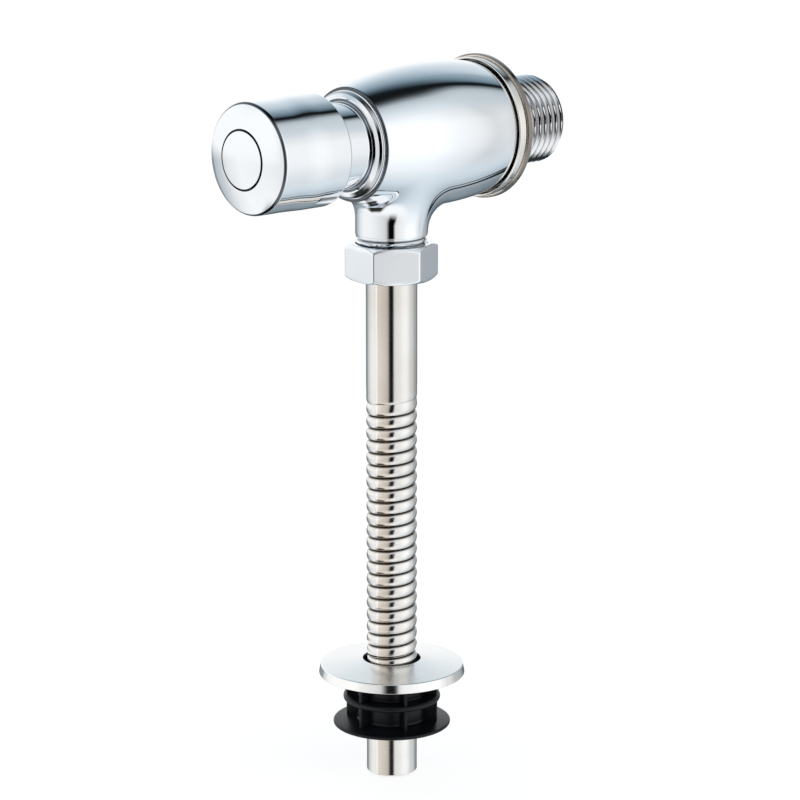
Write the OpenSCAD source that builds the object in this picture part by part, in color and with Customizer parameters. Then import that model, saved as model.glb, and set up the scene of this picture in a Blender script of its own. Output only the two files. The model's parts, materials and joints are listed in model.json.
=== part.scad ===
// Self-closing push-button flush valve for a urinal, with a corrugated flush pipe.
// The origin is the centre of the inlet at the wall face. +Y goes into the wall, +Z is up
// and the button faces -Y. All sizes are in millimetres.

/* [Barrel] */
// Distance from the wall to the centre line of the outlet
reach = 29; // [28:0.5:33]
// Greatest radius of the bulging barrel
barrel_r = 16.75; // [16.25:0.25:18]
// How much smaller the barrel's radius is at its front face
front_drop = 3.65; // [3:0.05:4]
// How much smaller the barrel's radius is at its wall end
back_drop = 1.6; // [1.2:0.05:2]
// Distance from the outlet's centre line to the barrel's front face
barrel_front = 13.4; // [12.9:0.1:15]
// Thickness of the barrel's wall at its front face, round the bonnet
front_wall = 2.7; // [2.5:0.1:3]
// Radius of the threaded socket behind, which takes the inlet nipple
socket_r = 11.95; // [11.6:0.05:12.4]

/* [Valve seat] */
// Radius of the hole in the valve seat
seat_r = 5; // [4.6:0.1:5.4]
// Thickness of the web that carries the seat
seat_web = 3; // [2.4:0.2:3.6]
// Height of the raised lip on the seat
seat_lip = 0.8; // [0.5:0.1:1.2]

/* [Outlet] */
// Radius of the round outlet boss below the barrel
boss_r = 8.45; // [8.4:0.05:9]
// Radius of the male thread at the boss's end, G 3/8
boss_thread_r = 8.33; // [8.1:0.01:8.38]
// Distance from the inlet's axis to the end of the boss
boss_len = 28.7; // [27.5:0.1:31]
// Radius of the waterway in the boss
outlet_bore_r = 5; // [4.4:0.1:5.2]
// Reach of the blend between boss and barrel on the button side
blend_front = 3; // [2.4:0.1:3.4]
// Reach of that blend on the wall side
blend_back = 5; // [4:0.1:5.5]
// Reach of that blend on the left and right, over the barrel
blend_side = 6; // [5:0.1:6.6]
// Reach of that blend on the left and right, down the boss
blend_side_drop = 5.3; // [4.5:0.1:5.6]

/* [Inlet nipple] */
// Radius of the inlet's male thread, G 1/2
inlet_r = 10.4775; // [10.4775:0.0005:10.478]
// Radius of the nipple's waterway
inlet_bore_r = 7.5; // [7.2:0.1:8]
// Length of the nipple beyond the wall face
inlet_len = 18.2; // [15:0.1:30]
// Length of the nipple inside the barrel
nipple_engage = 8.4; // [7:0.2:9]
// Depth of the wide mouth that lets water round the valve disc
nipple_mouth = 5; // [4:0.2:6]
// Radius of each hole in the inlet strainer
strainer_hole_r = 0.55; // [0.4:0.05:0.6]

/* [Wall flange] */
// Depth of the flange's raised lip in front of the wall
lip_depth = 3.4; // [2.8:0.1:4]
// Gap all round between the barrel and the lip
lip_gap = 0.36; // [0.32:0.02:0.6]
// Thickness of the lip's wall
lip_wall = 0.55; // [0.4:0.05:0.7]
// Width of the low step outside the lip
flange_step = 0.56; // [0.4:0.02:1.2]
// Height of the low step outside the lip
flange_step_h = 1.75; // [1.3:0.05:2.2]
// Thickness of the flange's sheet
flange_sheet = 0.8; // [0.5:0.1:1]

/* [Bonnet] */
// Radius of the bright neck that the button slides over
neck_r = 10; // [9.8:0.1:10.3]
// Width of the barrel's front face that shows round the collar ring
collar_inset = 0.7; // [0.5:0.1:1]
// Thickness of the collar ring
collar_t = 1.9; // [1.5:0.1:2.6]
// Length of the thread behind the collar
bonnet_thread = 5.5; // [4.5:0.1:6]
// Thickness of the bonnet's wall round the piston, with its thread
cylinder_wall = 2.4; // [2:0.1:2.8]
// Thickness of the web between the spring pocket and the cylinder
bonnet_web = 4.2; // [4:0.1:5]
// Length of neck inside the button at rest
neck_cover = 7; // [6:0.1:8]

/* [Button] */
// How far the button travels when it is pressed home
travel = 7; // [5:0.5:7.5]
// Gap left between the pressed button and the collar ring
press_gap = 1.5; // [1:0.1:3]
// Radius of the button's rear half
cap_r = 12.9; // [12.6:0.05:13.5]
// How much smaller the button's front half is in radius
cap_waist = 0.2; // [0:0.05:0.4]
// Length of the button's side, from rear edge to front edge
cap_len = 19.7; // [18.7:0.1:22]
// Thickness of the button's side wall
cap_wall = 1.5; // [1.2:0.1:1.8]
// Radius of the domed front of the button
dome_r = 32.3; // [28:0.1:60]
// Radius of the bare index disc in the button's front
index_r = 6.5; // [6:0.1:7]
// Gap all round the index disc
index_gap = 0.4; // [0.3:0.05:0.5]
// Depth of the recess that holds the index disc
index_depth = 1.5; // [1.2:0.1:1.8]

/* [Stem and valve disc] */
// Radius of the stem
stem_r = 3; // [2.8:0.1:3.2]
// Thickness of the rubber cup that seals the piston
cup_t = 2.6; // [2.2:0.1:3]
// Thickness of the piston plate behind the cup
plate_t = 2.4; // [2:0.1:3]
// Radius of the valve disc
disc_r = 7.2; // [6.8:0.1:7.2]
// Thickness of the valve disc
disc_t = 2.2; // [1.8:0.1:2.6]
// Thickness of the rubber washer on the valve disc
seat_washer_t = 1.8; // [1.4:0.1:2.2]

/* [Return spring] */
// Radius of the spring's wire
wire_r = 0.6; // [0.4:0.05:0.7]
// Gap between the spring and the neck that it stands in
coil_gap = 1.1; // [0.8:0.1:1.4]
// Number of curls
curls = 7; // [5:1:8]

/* [Outlet nut] */
// Width of the nut across its flats
nut_af = 19; // [18.6:0.1:21]
// Thickness of the nut's floor, which holds the pipe's ring up
nut_floor_t = 1.3; // [1:0.1:2]
// Length of boss inside the nut
nut_engage = 4.5; // [3.8:0.1:4.8]
// Thickness of the rubber washer in the nut
outlet_washer_t = 1.5; // [1.2:0.1:1.6]
// Turn of the nut, as it came to rest when it was tightened
nut_turn = -6.7; // [-30:0.1:30]

/* [Flush pipe] */
// Radius of the flush pipe
pipe_r = 6; // [5.9:0.05:6.1]
// Thickness of the pipe's wall
pipe_wall = 1; // [0.95:0.05:1.2]
// Length of the plain pipe above the corrugation
pipe_top_len = 40.3; // [30:0.1:80]
// Pitch of the helical corrugation
rib_pitch = 2.96; // [2.6:0.02:3.4]
// Turns of the helical corrugation
rib_turns = 21.5; // [12:0.5:30]
// Depth of the corrugation
rib_depth = 0.75; // [0.5:0.05:0.85]
// Length of the plain pipe below the corrugation
pipe_tail_len = 28; // [27:0.1:50]

/* [Escutcheon and spud] */
// Radius of the escutcheon at its top edge
disc_top_r = 16.96; // [16:0.02:20]
// How much wider the escutcheon's rim is at the bottom
disc_flare = 0.45; // [0:0.05:0.8]
// Height of the escutcheon's rim
disc_rim = 2.2; // [1.8:0.1:3]
// How much the escutcheon rises from its edge to its hole
disc_rise = 1.3; // [0.8:0.1:1.5]
// Gap all round between the pipe and the escutcheon's hole
disc_hole_gap = 0.9; // [0.6:0.1:1.4]
// Thickness of the escutcheon's sheet
disc_sheet = 0.6; // [0.4:0.1:0.8]
// Length of the rubber spud
spud_len = 14.8; // [13.5:0.1:16]
// Radius of the spud's bottom flange
spud_flange_r = 14; // [13:0.1:16]
// Radius of the spud's sealing bead
spud_bead_r = 11.6; // [11:0.1:12.5]
// Thickness of the spud's inner sleeve
spud_sleeve_t = 2.15; // [1.6:0.05:2.6]
// Number of fins round the spud
spud_fins = 6; // [4:1:10]
// Thickness of each fin
fin_t = 0.8; // [0.6:0.1:1.2]
// Turn of the spud on the pipe
spud_turn = 34; // [0:1:60]

/* [Fits] */
// Radial clearance of parts that slide or turn on each other
run_fit = 0.05; // [0.03:0.01:0.08]
// Clearance between parts that only lie against each other
rest_gap = 0.1; // [0.05:0.01:0.2]
// Radial clearance of parts that are pressed or screwed together
snug_fit = 0.02; // [0.01:0.005:0.04]

/* [Hidden] */
$fn = 96;

// Places along the valve's axis, which is Y
outlet_y = -reach;
barrel_front_y = outlet_y - barrel_front;
wall_gap = 3 * rest_gap;
barrel_back_y = -(flange_sheet + wall_gap);
barrel_len = barrel_back_y - barrel_front_y;
chamber_end = 1;
chamber_back_y = outlet_y + outlet_bore_r + chamber_end;
seat_back_y = chamber_back_y + seat_web;
seat_y = seat_back_y + seat_lip;
nipple_front_y = barrel_back_y - nipple_engage;
nipple_washer_t = 1;
washer_ledge = 2.75;
water_r = socket_r - washer_ledge;
collar_front_y = barrel_front_y - collar_t;
cap_back_y = collar_front_y - travel - press_gap;
cap_edge_y = cap_back_y - cap_len;
neck_front_y = cap_back_y - neck_cover;

// The barrel's outline is one arc through both end faces and the widest place
peak_from_front = barrel_len * sqrt(front_drop) / (sqrt(front_drop) + sqrt(back_drop));
barrel_peak_y = barrel_front_y + peak_from_front;
barrel_arc = (pow(peak_from_front, 2) + pow(front_drop, 2)) / (2 * front_drop);
function barrel_at(y, grow = 0) =
    barrel_r - barrel_arc + sqrt(pow(barrel_arc + grow, 2) - pow(y - barrel_peak_y, 2));

// The bonnet's bore and collar follow the barrel's front face
barrel_front_r = barrel_r - front_drop;
barrel_bore_r = barrel_front_r - front_wall;
collar_r = barrel_front_r - collar_inset;
cylinder_r = barrel_bore_r - cylinder_wall;

// The piston, its cup and its cylinder. Pressed home, the plate stands out by the overrun.
piston_gap = 0.6;
piston_overrun = 1;
plate_gap = 0.4;
stem_collar_t = 1.2;
stack_len = cup_t + plate_t;
cylinder_back_y = outlet_y - outlet_bore_r - 0.5;
web_back_y = cylinder_back_y - (piston_gap + stack_len + travel - piston_overrun);
web_front_y = web_back_y - bonnet_web;
cup_front_y = web_back_y + piston_gap;
plate_y = cup_front_y + cup_t;
clip_y = plate_y + plate_t;
clip_t = 0.8;

// The stem's seal and the ring that holds it in the bonnet's web
stem_seal_w = 1.8;
gland_w = 2.4;
gland_t = 1;
bonnet_seal_w = 1.2;

// The valve disc, which closes against the seat from the wall side
seat_washer_y = seat_y + rest_gap;
disc_y = seat_washer_y + seat_washer_t;
disc_nut_y = disc_y + disc_t;
disc_nut_t = 2.6;
stem_tail = 1;
stem_end_y = disc_nut_y + disc_nut_t + stem_tail;
stem_step = 0.5;
stem_tail_r = stem_r - stem_step;

// The domed front of the button
cap_front_r = cap_r - cap_waist;
function dome_y(r) =
    cap_edge_y + sqrt(pow(dome_r, 2) - pow(cap_front_r, 2)) - sqrt(pow(dome_r, 2) - r * r);
cap_bore_r = cap_r - cap_wall;
cap_front_t = 2.6;
cap_floor_y = cap_edge_y + cap_front_t;
cap_boss_wall = 1.6;
cap_boss_r = stem_r + cap_boss_wall;
cap_boss_len = 4.4;
recess_y = dome_y(index_r) + index_depth;
screw_head_r = 2.7;
screw_head_t = 1.5;
screw_r = 1.5;
screw_len = 7;
screw_seat_y = recess_y + screw_head_t + 2 * rest_gap;
cap_bridge = 1.2;
stem_front_y = screw_seat_y + cap_bridge;
spring_seat_t = 0.8;
spring_end_y = cap_floor_y + spring_seat_t;
neck_wall = 1.6;
pocket_r = neck_r - neck_wall;
coil_r = pocket_r - coil_gap - wire_r;

// Places down the outlet, which runs along -Z at outlet_y
nut_top = boss_len - nut_engage;
thread_shown = 2.2;
boss_shoulder_z = -nut_top + thread_shown;
pipe_engage = nut_engage + 3.3;
socket_stop = boss_len - pipe_engage;
pipe_top_z = -(socket_stop + rest_gap);
rib_top_z = pipe_top_z - pipe_top_len;
rib_end_z = rib_top_z - rib_turns * rib_pitch;
pipe_end_z = rib_end_z - pipe_tail_len;
pipe_bore_r = pipe_r - pipe_wall;
disc_hole_r = pipe_r + disc_hole_gap;
spud_bore_r = pipe_r + run_fit;
spud_sleeve_r = spud_bore_r + spud_sleeve_t;
spud_drop = 1.5;
spud_top_z = rib_end_z - spud_drop;
spud_end_z = spud_top_z - spud_len;
nut_thread_r = boss_thread_r + run_fit;
pipe_socket_gap = 0.15;
pipe_socket_r = pipe_r + pipe_socket_gap;
washer_gap = 0.35;
washer_top_z = -boss_len - rest_gap;
thrust_ring_t = 0.8;
ring_top_z = washer_top_z - outlet_washer_t - rest_gap;
nut_floor_z = ring_top_z - thrust_ring_t - 2 * rest_gap;
nut_low_z = nut_floor_z - nut_floor_t;
nut_h = -nut_top - nut_low_z;
spud_rim_in = 0.2;
spud_rim_r = spud_bead_r - spud_rim_in;

// Puts a shape drawn along Z onto the valve's axis, starting at y
module along_y(y = 0) {
    translate([0, y, 0]) rotate([-90, 0, 0]) children();
}

// A round bar on the valve's axis, from one place to another
module y_bar(r, from, to) {
    along_y(from) cylinder(r = r, h = to - from);
}

// A round bar on the outlet's axis, from its lower end to its upper end
module z_bar(r, low, high) {
    translate([0, outlet_y, low]) cylinder(r = r, h = high - low);
}

// Turns an outline of [radius, y] points round the valve's axis
module turned_y() {
    along_y() rotate_extrude() children();
}

// Turns an outline of [radius, z] points round the outlet's axis
module turned_z() {
    translate([0, outlet_y, 0]) rotate_extrude() children();
}

// Points along an arc, for the rounded edges of an outline
function arc(cx, cy, r, from, to, steps = 6) =
    [for (i = [0:steps]) let (a = from + (to - from) * i / steps) [cx + r * cos(a), cy + r * sin(a)]];

// Triangles that join a stack of equal rings and close both ends with a fan
function skin_faces(rings, sides) =
    let (low = rings * sides, high = low + 1)
    concat(
        [for (k = [0:rings - 2], i = [0:sides - 1])
            let (n = (i + 1) % sides) [k * sides + i, (k + 1) * sides + i, k * sides + n]],
        [for (k = [0:rings - 2], i = [0:sides - 1])
            let (n = (i + 1) % sides) [k * sides + n, (k + 1) * sides + i, (k + 1) * sides + n]],
        [for (i = [0:sides - 1]) [low, i, (i + 1) % sides]],
        [for (i = [0:sides - 1])
            let (k = (rings - 1) * sides) [high, k + (i + 1) % sides, k + i]]);

// The blend between boss and barrel. Its reach changes smoothly round the boss. Each section
// is a curve that leaves the barrel along its surface and ends straight down the boss.
blend_sides = 48;
blend_steps = 6;
blend_sink = 0.08;
blend_root = 1.5;
blend_pull = 0.38;
blend_limit = 0.95;
side_reach = min(blend_side, blend_limit * barrel_at(outlet_y) - boss_r);
function round_boss(a, front, side, back) =
    (front + back) / 2 + (back - front) / 2 * cos(a) + (side - (front + back) / 2) * pow(sin(a), 2);
function blend_foot(a) =
    let (reach = boss_r + round_boss(a, blend_front, side_reach, blend_back),
         x = reach * sin(a), y = outlet_y + reach * cos(a))
    [x, y, -sqrt(pow(barrel_at(y), 2) - x * x)];
function barrel_normal(p) =
    let (share = (barrel_r - barrel_arc) / norm([p.x, p.z]),
         out = p - [p.x * share, barrel_peak_y, p.z * share])
    out / norm(out);
function blend_low_z(a, y) =
    let (drop = round_boss(a, blend_front, blend_side_drop, blend_back))
    max(boss_shoulder_z + blend_sink, -barrel_at(y) - drop);
function blend_section(a) =
    let (foot = blend_foot(a), normal = barrel_normal(foot), out = [sin(a), cos(a), 0],
         along = (out * normal) * normal - out, start = foot - blend_sink * normal,
         end = [0, outlet_y, blend_low_z(a, foot.y)] + (boss_r - blend_sink) * out,
         pull = norm(end - start) * blend_pull)
    [end, end + [0, 0, pull], start + along / norm(along) * pull, start];
function blend_point(a, t) =
    let (s = blend_section(a), u = 1 - t)
    pow(u, 3) * s[0] + 3 * t * pow(u, 2) * s[1] + 3 * pow(t, 2) * u * s[2] + pow(t, 3) * s[3];
function blend_ring(k) =
    [for (i = [0:blend_sides - 1]) let (a = -360 * i / blend_sides)
        k == 0 ? blend_point(a, 0) - blend_root * [sin(a), cos(a), 0.4]
        : k == blend_steps + 2 ? blend_foot(a) + [0, 0, blend_root]
        : blend_point(a, (k - 1) / blend_steps)];

module blend() {
    rings = [for (k = [0:blend_steps + 2]) each blend_ring(k)];
    cap_below = 5;
    cap_above = 4;
    low = [0, outlet_y, -barrel_r - cap_below];
    high = [0, outlet_y, -barrel_r + cap_above];
    polyhedron(points = concat(rings, [low, high]),
               faces = skin_faces(blend_steps + 3, blend_sides), convexity = 4);
}

// The cast body: barrel, outlet boss, valve seat and the three bores
module valve_body() {
    lip_t = 1.2;
    first_groove = 0.75;
    groove_pitch = 0.95;
    color("#c9d3da") difference() {
        union() {
            turned_y() intersection() {
                translate([barrel_r - barrel_arc, barrel_peak_y]) circle(r = barrel_arc, $fn = 720);
                translate([0, barrel_front_y]) square([barrel_r + 1, barrel_len]);
            }
            z_bar(boss_r, boss_shoulder_z, -barrel_bore_r);
            z_bar(boss_thread_r, -boss_len, boss_shoulder_z);
            blend();
        }
        y_bar(barrel_bore_r, barrel_front_y - 1, chamber_back_y);
        y_bar(barrel_bore_r + bonnet_seal_w, barrel_front_y - 1, barrel_front_y + bonnet_seal_w);
        y_bar(seat_r, chamber_back_y - 1, seat_back_y + 1);
        y_bar(water_r, seat_back_y, barrel_back_y - 1);
        y_bar(socket_r, nipple_front_y - nipple_washer_t, barrel_back_y + 1);
        z_bar(outlet_bore_r, -boss_len - 1, -barrel_bore_r / 2);
        z_bar(pipe_socket_r, -boss_len - 1, -socket_stop);
        for (i = [0:1]) {
            translate([0, 0, boss_shoulder_z - first_groove - groove_pitch * i]) thread_groove();
        }
    }
    color("#c9d3da") difference() {
        y_bar(seat_r + lip_t, seat_back_y - lip_t, seat_y);
        y_bar(seat_r, seat_back_y - 2 * lip_t, seat_y + 1);
    }
}

// One groove of the boss's thread that shows above the nut
module thread_groove() {
    depth = 0.4;
    slope = 0.25;
    out = 1;
    half_w = (depth + out) * slope;
    turned_z() polygon([
        [boss_thread_r - depth, 0], [boss_thread_r + out, -half_w], [boss_thread_r + out, half_w]]);
}

// The threaded tube that screws into the barrel and out into the wall
module inlet_nipple() {
    relief = 0.9;
    chamfer = 0.6;
    color("#b9c0c5") difference() {
        union() {
            y_bar(socket_r - run_fit, nipple_front_y, barrel_back_y);
            y_bar(inlet_r - relief, barrel_back_y - 1, 1);
            y_bar(inlet_r, 0, inlet_len - chamfer);
            along_y(inlet_len - chamfer) cylinder(r1 = inlet_r, r2 = inlet_r - chamfer, h = chamfer);
        }
        y_bar(inlet_bore_r, nipple_front_y - 1, inlet_len + 1);
        y_bar(water_r, nipple_front_y - 1, nipple_front_y + nipple_mouth);
    }
}

module nipple_washer() {
    color("#3a3a3c") difference() {
        y_bar(socket_r - 2 * run_fit, nipple_front_y - nipple_washer_t, nipple_front_y);
        y_bar(water_r, nipple_front_y - 2 * nipple_washer_t, nipple_front_y + 1);
    }
}

// A thin pressed cup with rings of holes, pushed into the nipple
module inlet_strainer() {
    sheet = 0.6;
    cup_r = inlet_bore_r - snug_fit;
    cup_y = 0.5;
    cup_h = 2.6;
    hole_pitch = 3 * strainer_hole_r;
    color("#a8abad") difference() {
        y_bar(cup_r, cup_y, cup_y + cup_h);
        y_bar(cup_r - sheet, cup_y + sheet, cup_y + cup_h + 1);
        y_bar(strainer_hole_r, cup_y - 1, cup_y + 2 * sheet);
        for (ring = [1:3], i = [0:6 * ring - 1]) {
            rotate([0, 60 * i / ring, 0]) translate([ring * hole_pitch, 0, 0])
                y_bar(strainer_hole_r, cup_y - 1, cup_y + 2 * sheet);
        }
    }
}

// The stamped rosette that hides the hole in the wall
module wall_flange() {
    hole_gap = 0.33;
    lip_in = barrel_at(-lip_depth) + lip_gap;
    lip_out = lip_in + lip_wall;
    rim = lip_out + flange_step;
    hole = inlet_r + hole_gap;
    lip_bend = lip_wall / 2;
    foot = 0.12;
    edge = 0.3;
    color("#d8cfc0") turned_y() polygon(concat(
        [[hole, 0], [hole, -flange_sheet], [lip_in, -flange_sheet]],
        arc(lip_in + lip_bend, -lip_depth + lip_bend, lip_bend, 180, 360),
        [[lip_out, -flange_step_h - 3 * foot], [lip_out + foot, -flange_step_h]],
        arc(rim - edge, -flange_step_h + edge, edge, 270, 360, 4),
        [[rim, 0]]));
}

// Neck, collar ring, thread and cylinder in one turned piece
module bonnet() {
    chamfer = 0.5;
    thread_depth = 0.6;
    seal_room = gland_t + stem_seal_w + rest_gap;
    color("#d5dde3") difference() {
        union() {
            y_bar(neck_r, neck_front_y + chamfer, barrel_front_y);
            along_y(neck_front_y) cylinder(r1 = neck_r - chamfer, r2 = neck_r, h = chamfer);
            collar_ring();
            y_bar(barrel_bore_r - run_fit, barrel_front_y, barrel_front_y + bonnet_thread);
            y_bar(barrel_bore_r - thread_depth, barrel_front_y, cylinder_back_y);
        }
        y_bar(pocket_r, neck_front_y - 1, web_front_y);
        y_bar(stem_r + run_fit, web_front_y - 1, web_back_y + 1);
        y_bar(stem_r + stem_seal_w, web_front_y, web_front_y + seal_room);
        y_bar(stem_r + gland_w, web_front_y - 1, web_front_y + gland_t);
        y_bar(cylinder_r, web_back_y, cylinder_back_y + 1);
    }
}

// The collar's bevelled front, the fine groove round it and its full-width rear band
module collar_ring() {
    bevel = 0.4;
    front_r = collar_r - bevel / 2;
    groove_y = collar_front_y + collar_t / 2;
    groove_half = 0.13;
    turned_y() polygon([
        [0, barrel_front_y], [0, collar_front_y], [front_r - 1.4 * bevel, collar_front_y],
        [front_r, collar_front_y + bevel], [front_r, groove_y - groove_half],
        [front_r - bevel / 2, groove_y], [collar_r, groove_y + groove_half],
        [collar_r, barrel_front_y]]);
}

// An O-ring on the valve's axis, between an inner and an outer radius
module o_ring(inner, outer, y) {
    turned_y() translate([(inner + outer) / 2, y]) circle(r = (outer - inner) / 2, $fn = 48);
}

module bonnet_seal() {
    middle_y = barrel_front_y + bonnet_seal_w / 2;
    color("#2b2b2d")
        o_ring(barrel_bore_r + snug_fit, barrel_bore_r + bonnet_seal_w - snug_fit, middle_y);
}

module stem_seal() {
    middle_y = web_front_y + gland_t + (stem_seal_w + rest_gap) / 2;
    color("#2b2b2d") o_ring(stem_r + run_fit, stem_r + stem_seal_w - run_fit, middle_y);
}

// Holds the stem's seal in the bonnet
module gland_ring() {
    color("#c8a45a") difference() {
        y_bar(stem_r + gland_w - snug_fit, web_front_y, web_front_y + gland_t);
        y_bar(stem_r + 2 * run_fit, web_front_y - 1, web_front_y + 2 * gland_t);
    }
}

// The spring's wire follows a helix from the bonnet's web to the button
rings_per_curl = 8;
spring_height = web_front_y - spring_end_y - 2 * wire_r - 2 * rest_gap;
spring_points = [for (i = [0:curls * rings_per_curl]) let (a = 360 * i / rings_per_curl)
    [coil_r * cos(a), web_front_y - wire_r - rest_gap - spring_height * i / (curls * rings_per_curl),
     coil_r * sin(a)]];
spring_gap = min([for (i = [0:len(spring_points) - 1], j = [i + rings_per_curl / 2:len(spring_points) - 1])
    norm(spring_points[i] - spring_points[j])]) - 2 * wire_r;
echo(str("least gap between the spring's curls: ", spring_gap, " mm"));

module return_spring() {
    sides = 6;
    count = len(spring_points);
    rings = [for (i = [0:count - 1]) let (a = 360 * i / rings_per_curl)
        for (s = [0:sides - 1]) let (b = 360 * s / sides, p = spring_points[i])
            p + wire_r * [cos(b) * cos(a), sin(b), cos(b) * sin(a)]];
    color("#b4b8bb") polyhedron(
        points = concat(rings, [spring_points[0], spring_points[count - 1]]),
        faces = skin_faces(count, sides), convexity = 10);
}

// The plastic washer between spring and button
module spring_seat() {
    color("#e8e8e4") difference() {
        y_bar(coil_r + 2 * wire_r, cap_floor_y, spring_end_y);
        y_bar(cap_boss_r + rest_gap, cap_floor_y - 1, spring_end_y + 1);
    }
}

// The button: a turned cup with a domed front and a boss for the stem
module push_cap() {
    edge = 0.9;
    rear = 0.8;
    rear_turn = 75;
    step_share = 0.52;
    step_y = cap_edge_y + cap_len * step_share;
    step_half = 0.8;
    head_gap = 0.3;
    hole_gap = 0.15;
    dome = [for (i = [0:12]) let (r = (cap_front_r - edge * 0.7) * i / 12) [r, dome_y(r)]];
    color("#dfe6ea") difference() {
        turned_y() polygon(concat(
            [[0, cap_floor_y + cap_boss_len]], dome,
            [[cap_front_r - edge * 0.13, cap_edge_y + edge * 0.4], [cap_front_r, cap_edge_y + edge],
             [cap_front_r, step_y - step_half], [cap_r, step_y + step_half]],
            arc(cap_r - rear, cap_back_y - rear, rear, 0, rear_turn, 5),
            [[cap_bore_r, cap_back_y], [cap_bore_r, cap_floor_y], [cap_boss_r, cap_floor_y],
             [cap_boss_r, cap_floor_y + cap_boss_len]]));
        y_bar(index_r + index_gap, dome_y(0) - 1, recess_y);
        y_bar(screw_head_r + head_gap, recess_y - 1, screw_seat_y);
        y_bar(screw_r + hole_gap, screw_seat_y - 1, stem_front_y + 1);
        y_bar(stem_r + run_fit, stem_front_y, cap_floor_y + cap_boss_len + 1);
    }
}

// A bare disc, flush with the button's domed front
module index_disc() {
    edge = 0.2;
    color("#eef2f5") turned_y() polygon(concat(
        [[0, recess_y]],
        [for (i = [0:6]) let (r = (index_r - edge) * i / 6) [r, dome_y(r)]],
        [[index_r, dome_y(index_r) + edge], [index_r, recess_y]]));
}

// A cross-head screw that holds the button on the stem
module cap_screw() {
    head_y = screw_seat_y - screw_head_t;
    slot_len = 3.2;
    slot_w = 0.6;
    slot_depth = 0.8;
    color("#a8abad") difference() {
        union() {
            y_bar(screw_head_r, head_y, screw_seat_y);
            y_bar(screw_r, head_y + 1, screw_seat_y + screw_len);
        }
        for (turn = [0, 90]) {
            rotate([0, turn, 0]) translate([-slot_len / 2, head_y - 1, -slot_w / 2])
                cube([slot_len, slot_depth + 1, slot_w]);
        }
    }
}

// The stem runs from the button, through the bonnet and the seat, to the valve disc
module stem() {
    collar = 1.5;
    washer_collar = 1.3;
    past_clip = 1.2;
    color("#c8a45a") difference() {
        union() {
            y_bar(stem_r, stem_front_y, clip_y + clip_t + past_clip);
            y_bar(stem_r + collar, cup_front_y, cup_front_y + stem_collar_t);
            y_bar(stem_tail_r, clip_y, stem_end_y);
            y_bar(stem_tail_r + washer_collar, seat_washer_y - collar, seat_washer_y);
        }
        y_bar(screw_r + snug_fit, stem_front_y - 1, screw_seat_y + screw_len + 1);
        difference() {
            y_bar(stem_r + 1, clip_y, clip_y + clip_t);
            y_bar(stem_tail_r, clip_y - 1, clip_y + clip_t + 1);
        }
    }
}

// The rubber cup, with its lip turned towards the button
module piston_cup() {
    lip_t = 1.1;
    lip_in = cylinder_r - lip_t;
    fillet = 0.5;
    seal_len = 1.4;
    out_r = cylinder_r - run_fit;
    in_r = stem_r + snug_fit;
    back_y = cup_front_y + stem_collar_t;
    color("#2b2b2d") turned_y() polygon([
        [in_r, plate_y], [in_r, back_y], [lip_in - fillet, back_y], [lip_in, back_y - fillet],
        [lip_in + lip_t / 3, cup_front_y], [out_r, cup_front_y], [out_r, cup_front_y + seal_len],
        [cylinder_r - plate_gap, plate_y]]);
}

module piston_plate() {
    color("#c8a45a") difference() {
        y_bar(cylinder_r - plate_gap, plate_y, clip_y);
        y_bar(stem_r + snug_fit, plate_y - 1, clip_y + 1);
    }
}

// An open clip in a groove of the stem
module piston_clip() {
    clip_w = 1.4;
    mouth = 3.4;
    color("#8f9498") difference() {
        y_bar(stem_r + clip_w, clip_y, clip_y + clip_t);
        y_bar(stem_tail_r + snug_fit, clip_y - 1, clip_y + clip_t + 1);
        translate([-mouth / 2, clip_y - 1, 0]) cube([mouth, clip_t + 2, stem_r + clip_w + 1]);
    }
}

module seat_washer() {
    washer_inset = 0.3;
    color("#2b2b2d") difference() {
        y_bar(disc_r - washer_inset, seat_washer_y, disc_y);
        y_bar(stem_tail_r + snug_fit, seat_washer_y - 1, disc_y + 1);
    }
}

module valve_disc() {
    bevel = disc_t * 0.4;
    color("#c8a45a") difference() {
        union() {
            y_bar(disc_r, disc_y, disc_nut_y - bevel);
            along_y(disc_nut_y - bevel) cylinder(r1 = disc_r, r2 = disc_r - bevel, h = bevel);
        }
        y_bar(stem_tail_r + snug_fit, disc_y - 1, disc_nut_y + 1);
    }
}

// A hexagon nut with both ends chamfered. It is drawn along Z, standing on z = 0.
module hex_nut(across, height, chamfer) {
    corner = across / sqrt(3);
    slope = chamfer * tan(30);
    intersection() {
        cylinder(r = corner, h = height, $fn = 6);
        rotate_extrude() polygon([
            [0, 0], [corner - chamfer, 0], [corner, slope],
            [corner, height - slope], [corner - chamfer, height], [0, height]]);
    }
}

module disc_nut() {
    across = 8;
    chamfer = 0.5;
    color("#c8a45a") difference() {
        along_y(disc_nut_y) hex_nut(across, disc_nut_t, chamfer);
        y_bar(stem_tail_r + snug_fit, disc_nut_y - 1, stem_end_y);
    }
}

// The nut that clamps the flush pipe to the boss
module outlet_nut() {
    chamfer = 1.4;
    color("#d5dde3") difference() {
        translate([0, outlet_y, nut_low_z]) rotate(nut_turn) hex_nut(nut_af, nut_h, chamfer);
        z_bar(pipe_socket_r, nut_low_z - 1, 0);
        z_bar(nut_thread_r, nut_floor_z, 0);
    }
}

// The rubber washer under the end of the boss
module outlet_washer() {
    low = washer_top_z - outlet_washer_t;
    color("#2b2b2d") difference() {
        z_bar(nut_thread_r - washer_gap, low, washer_top_z);
        z_bar(pipe_r + rest_gap, low - 1, washer_top_z + 1);
    }
}

// The brass ring that keeps the nut from twisting the rubber washer
module thrust_ring() {
    low = ring_top_z - thrust_ring_t;
    color("#c8a45a") difference() {
        z_bar(nut_thread_r - washer_gap, low, ring_top_z);
        z_bar(pipe_r + rest_gap, low - 1, ring_top_z + 1);
    }
}

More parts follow.
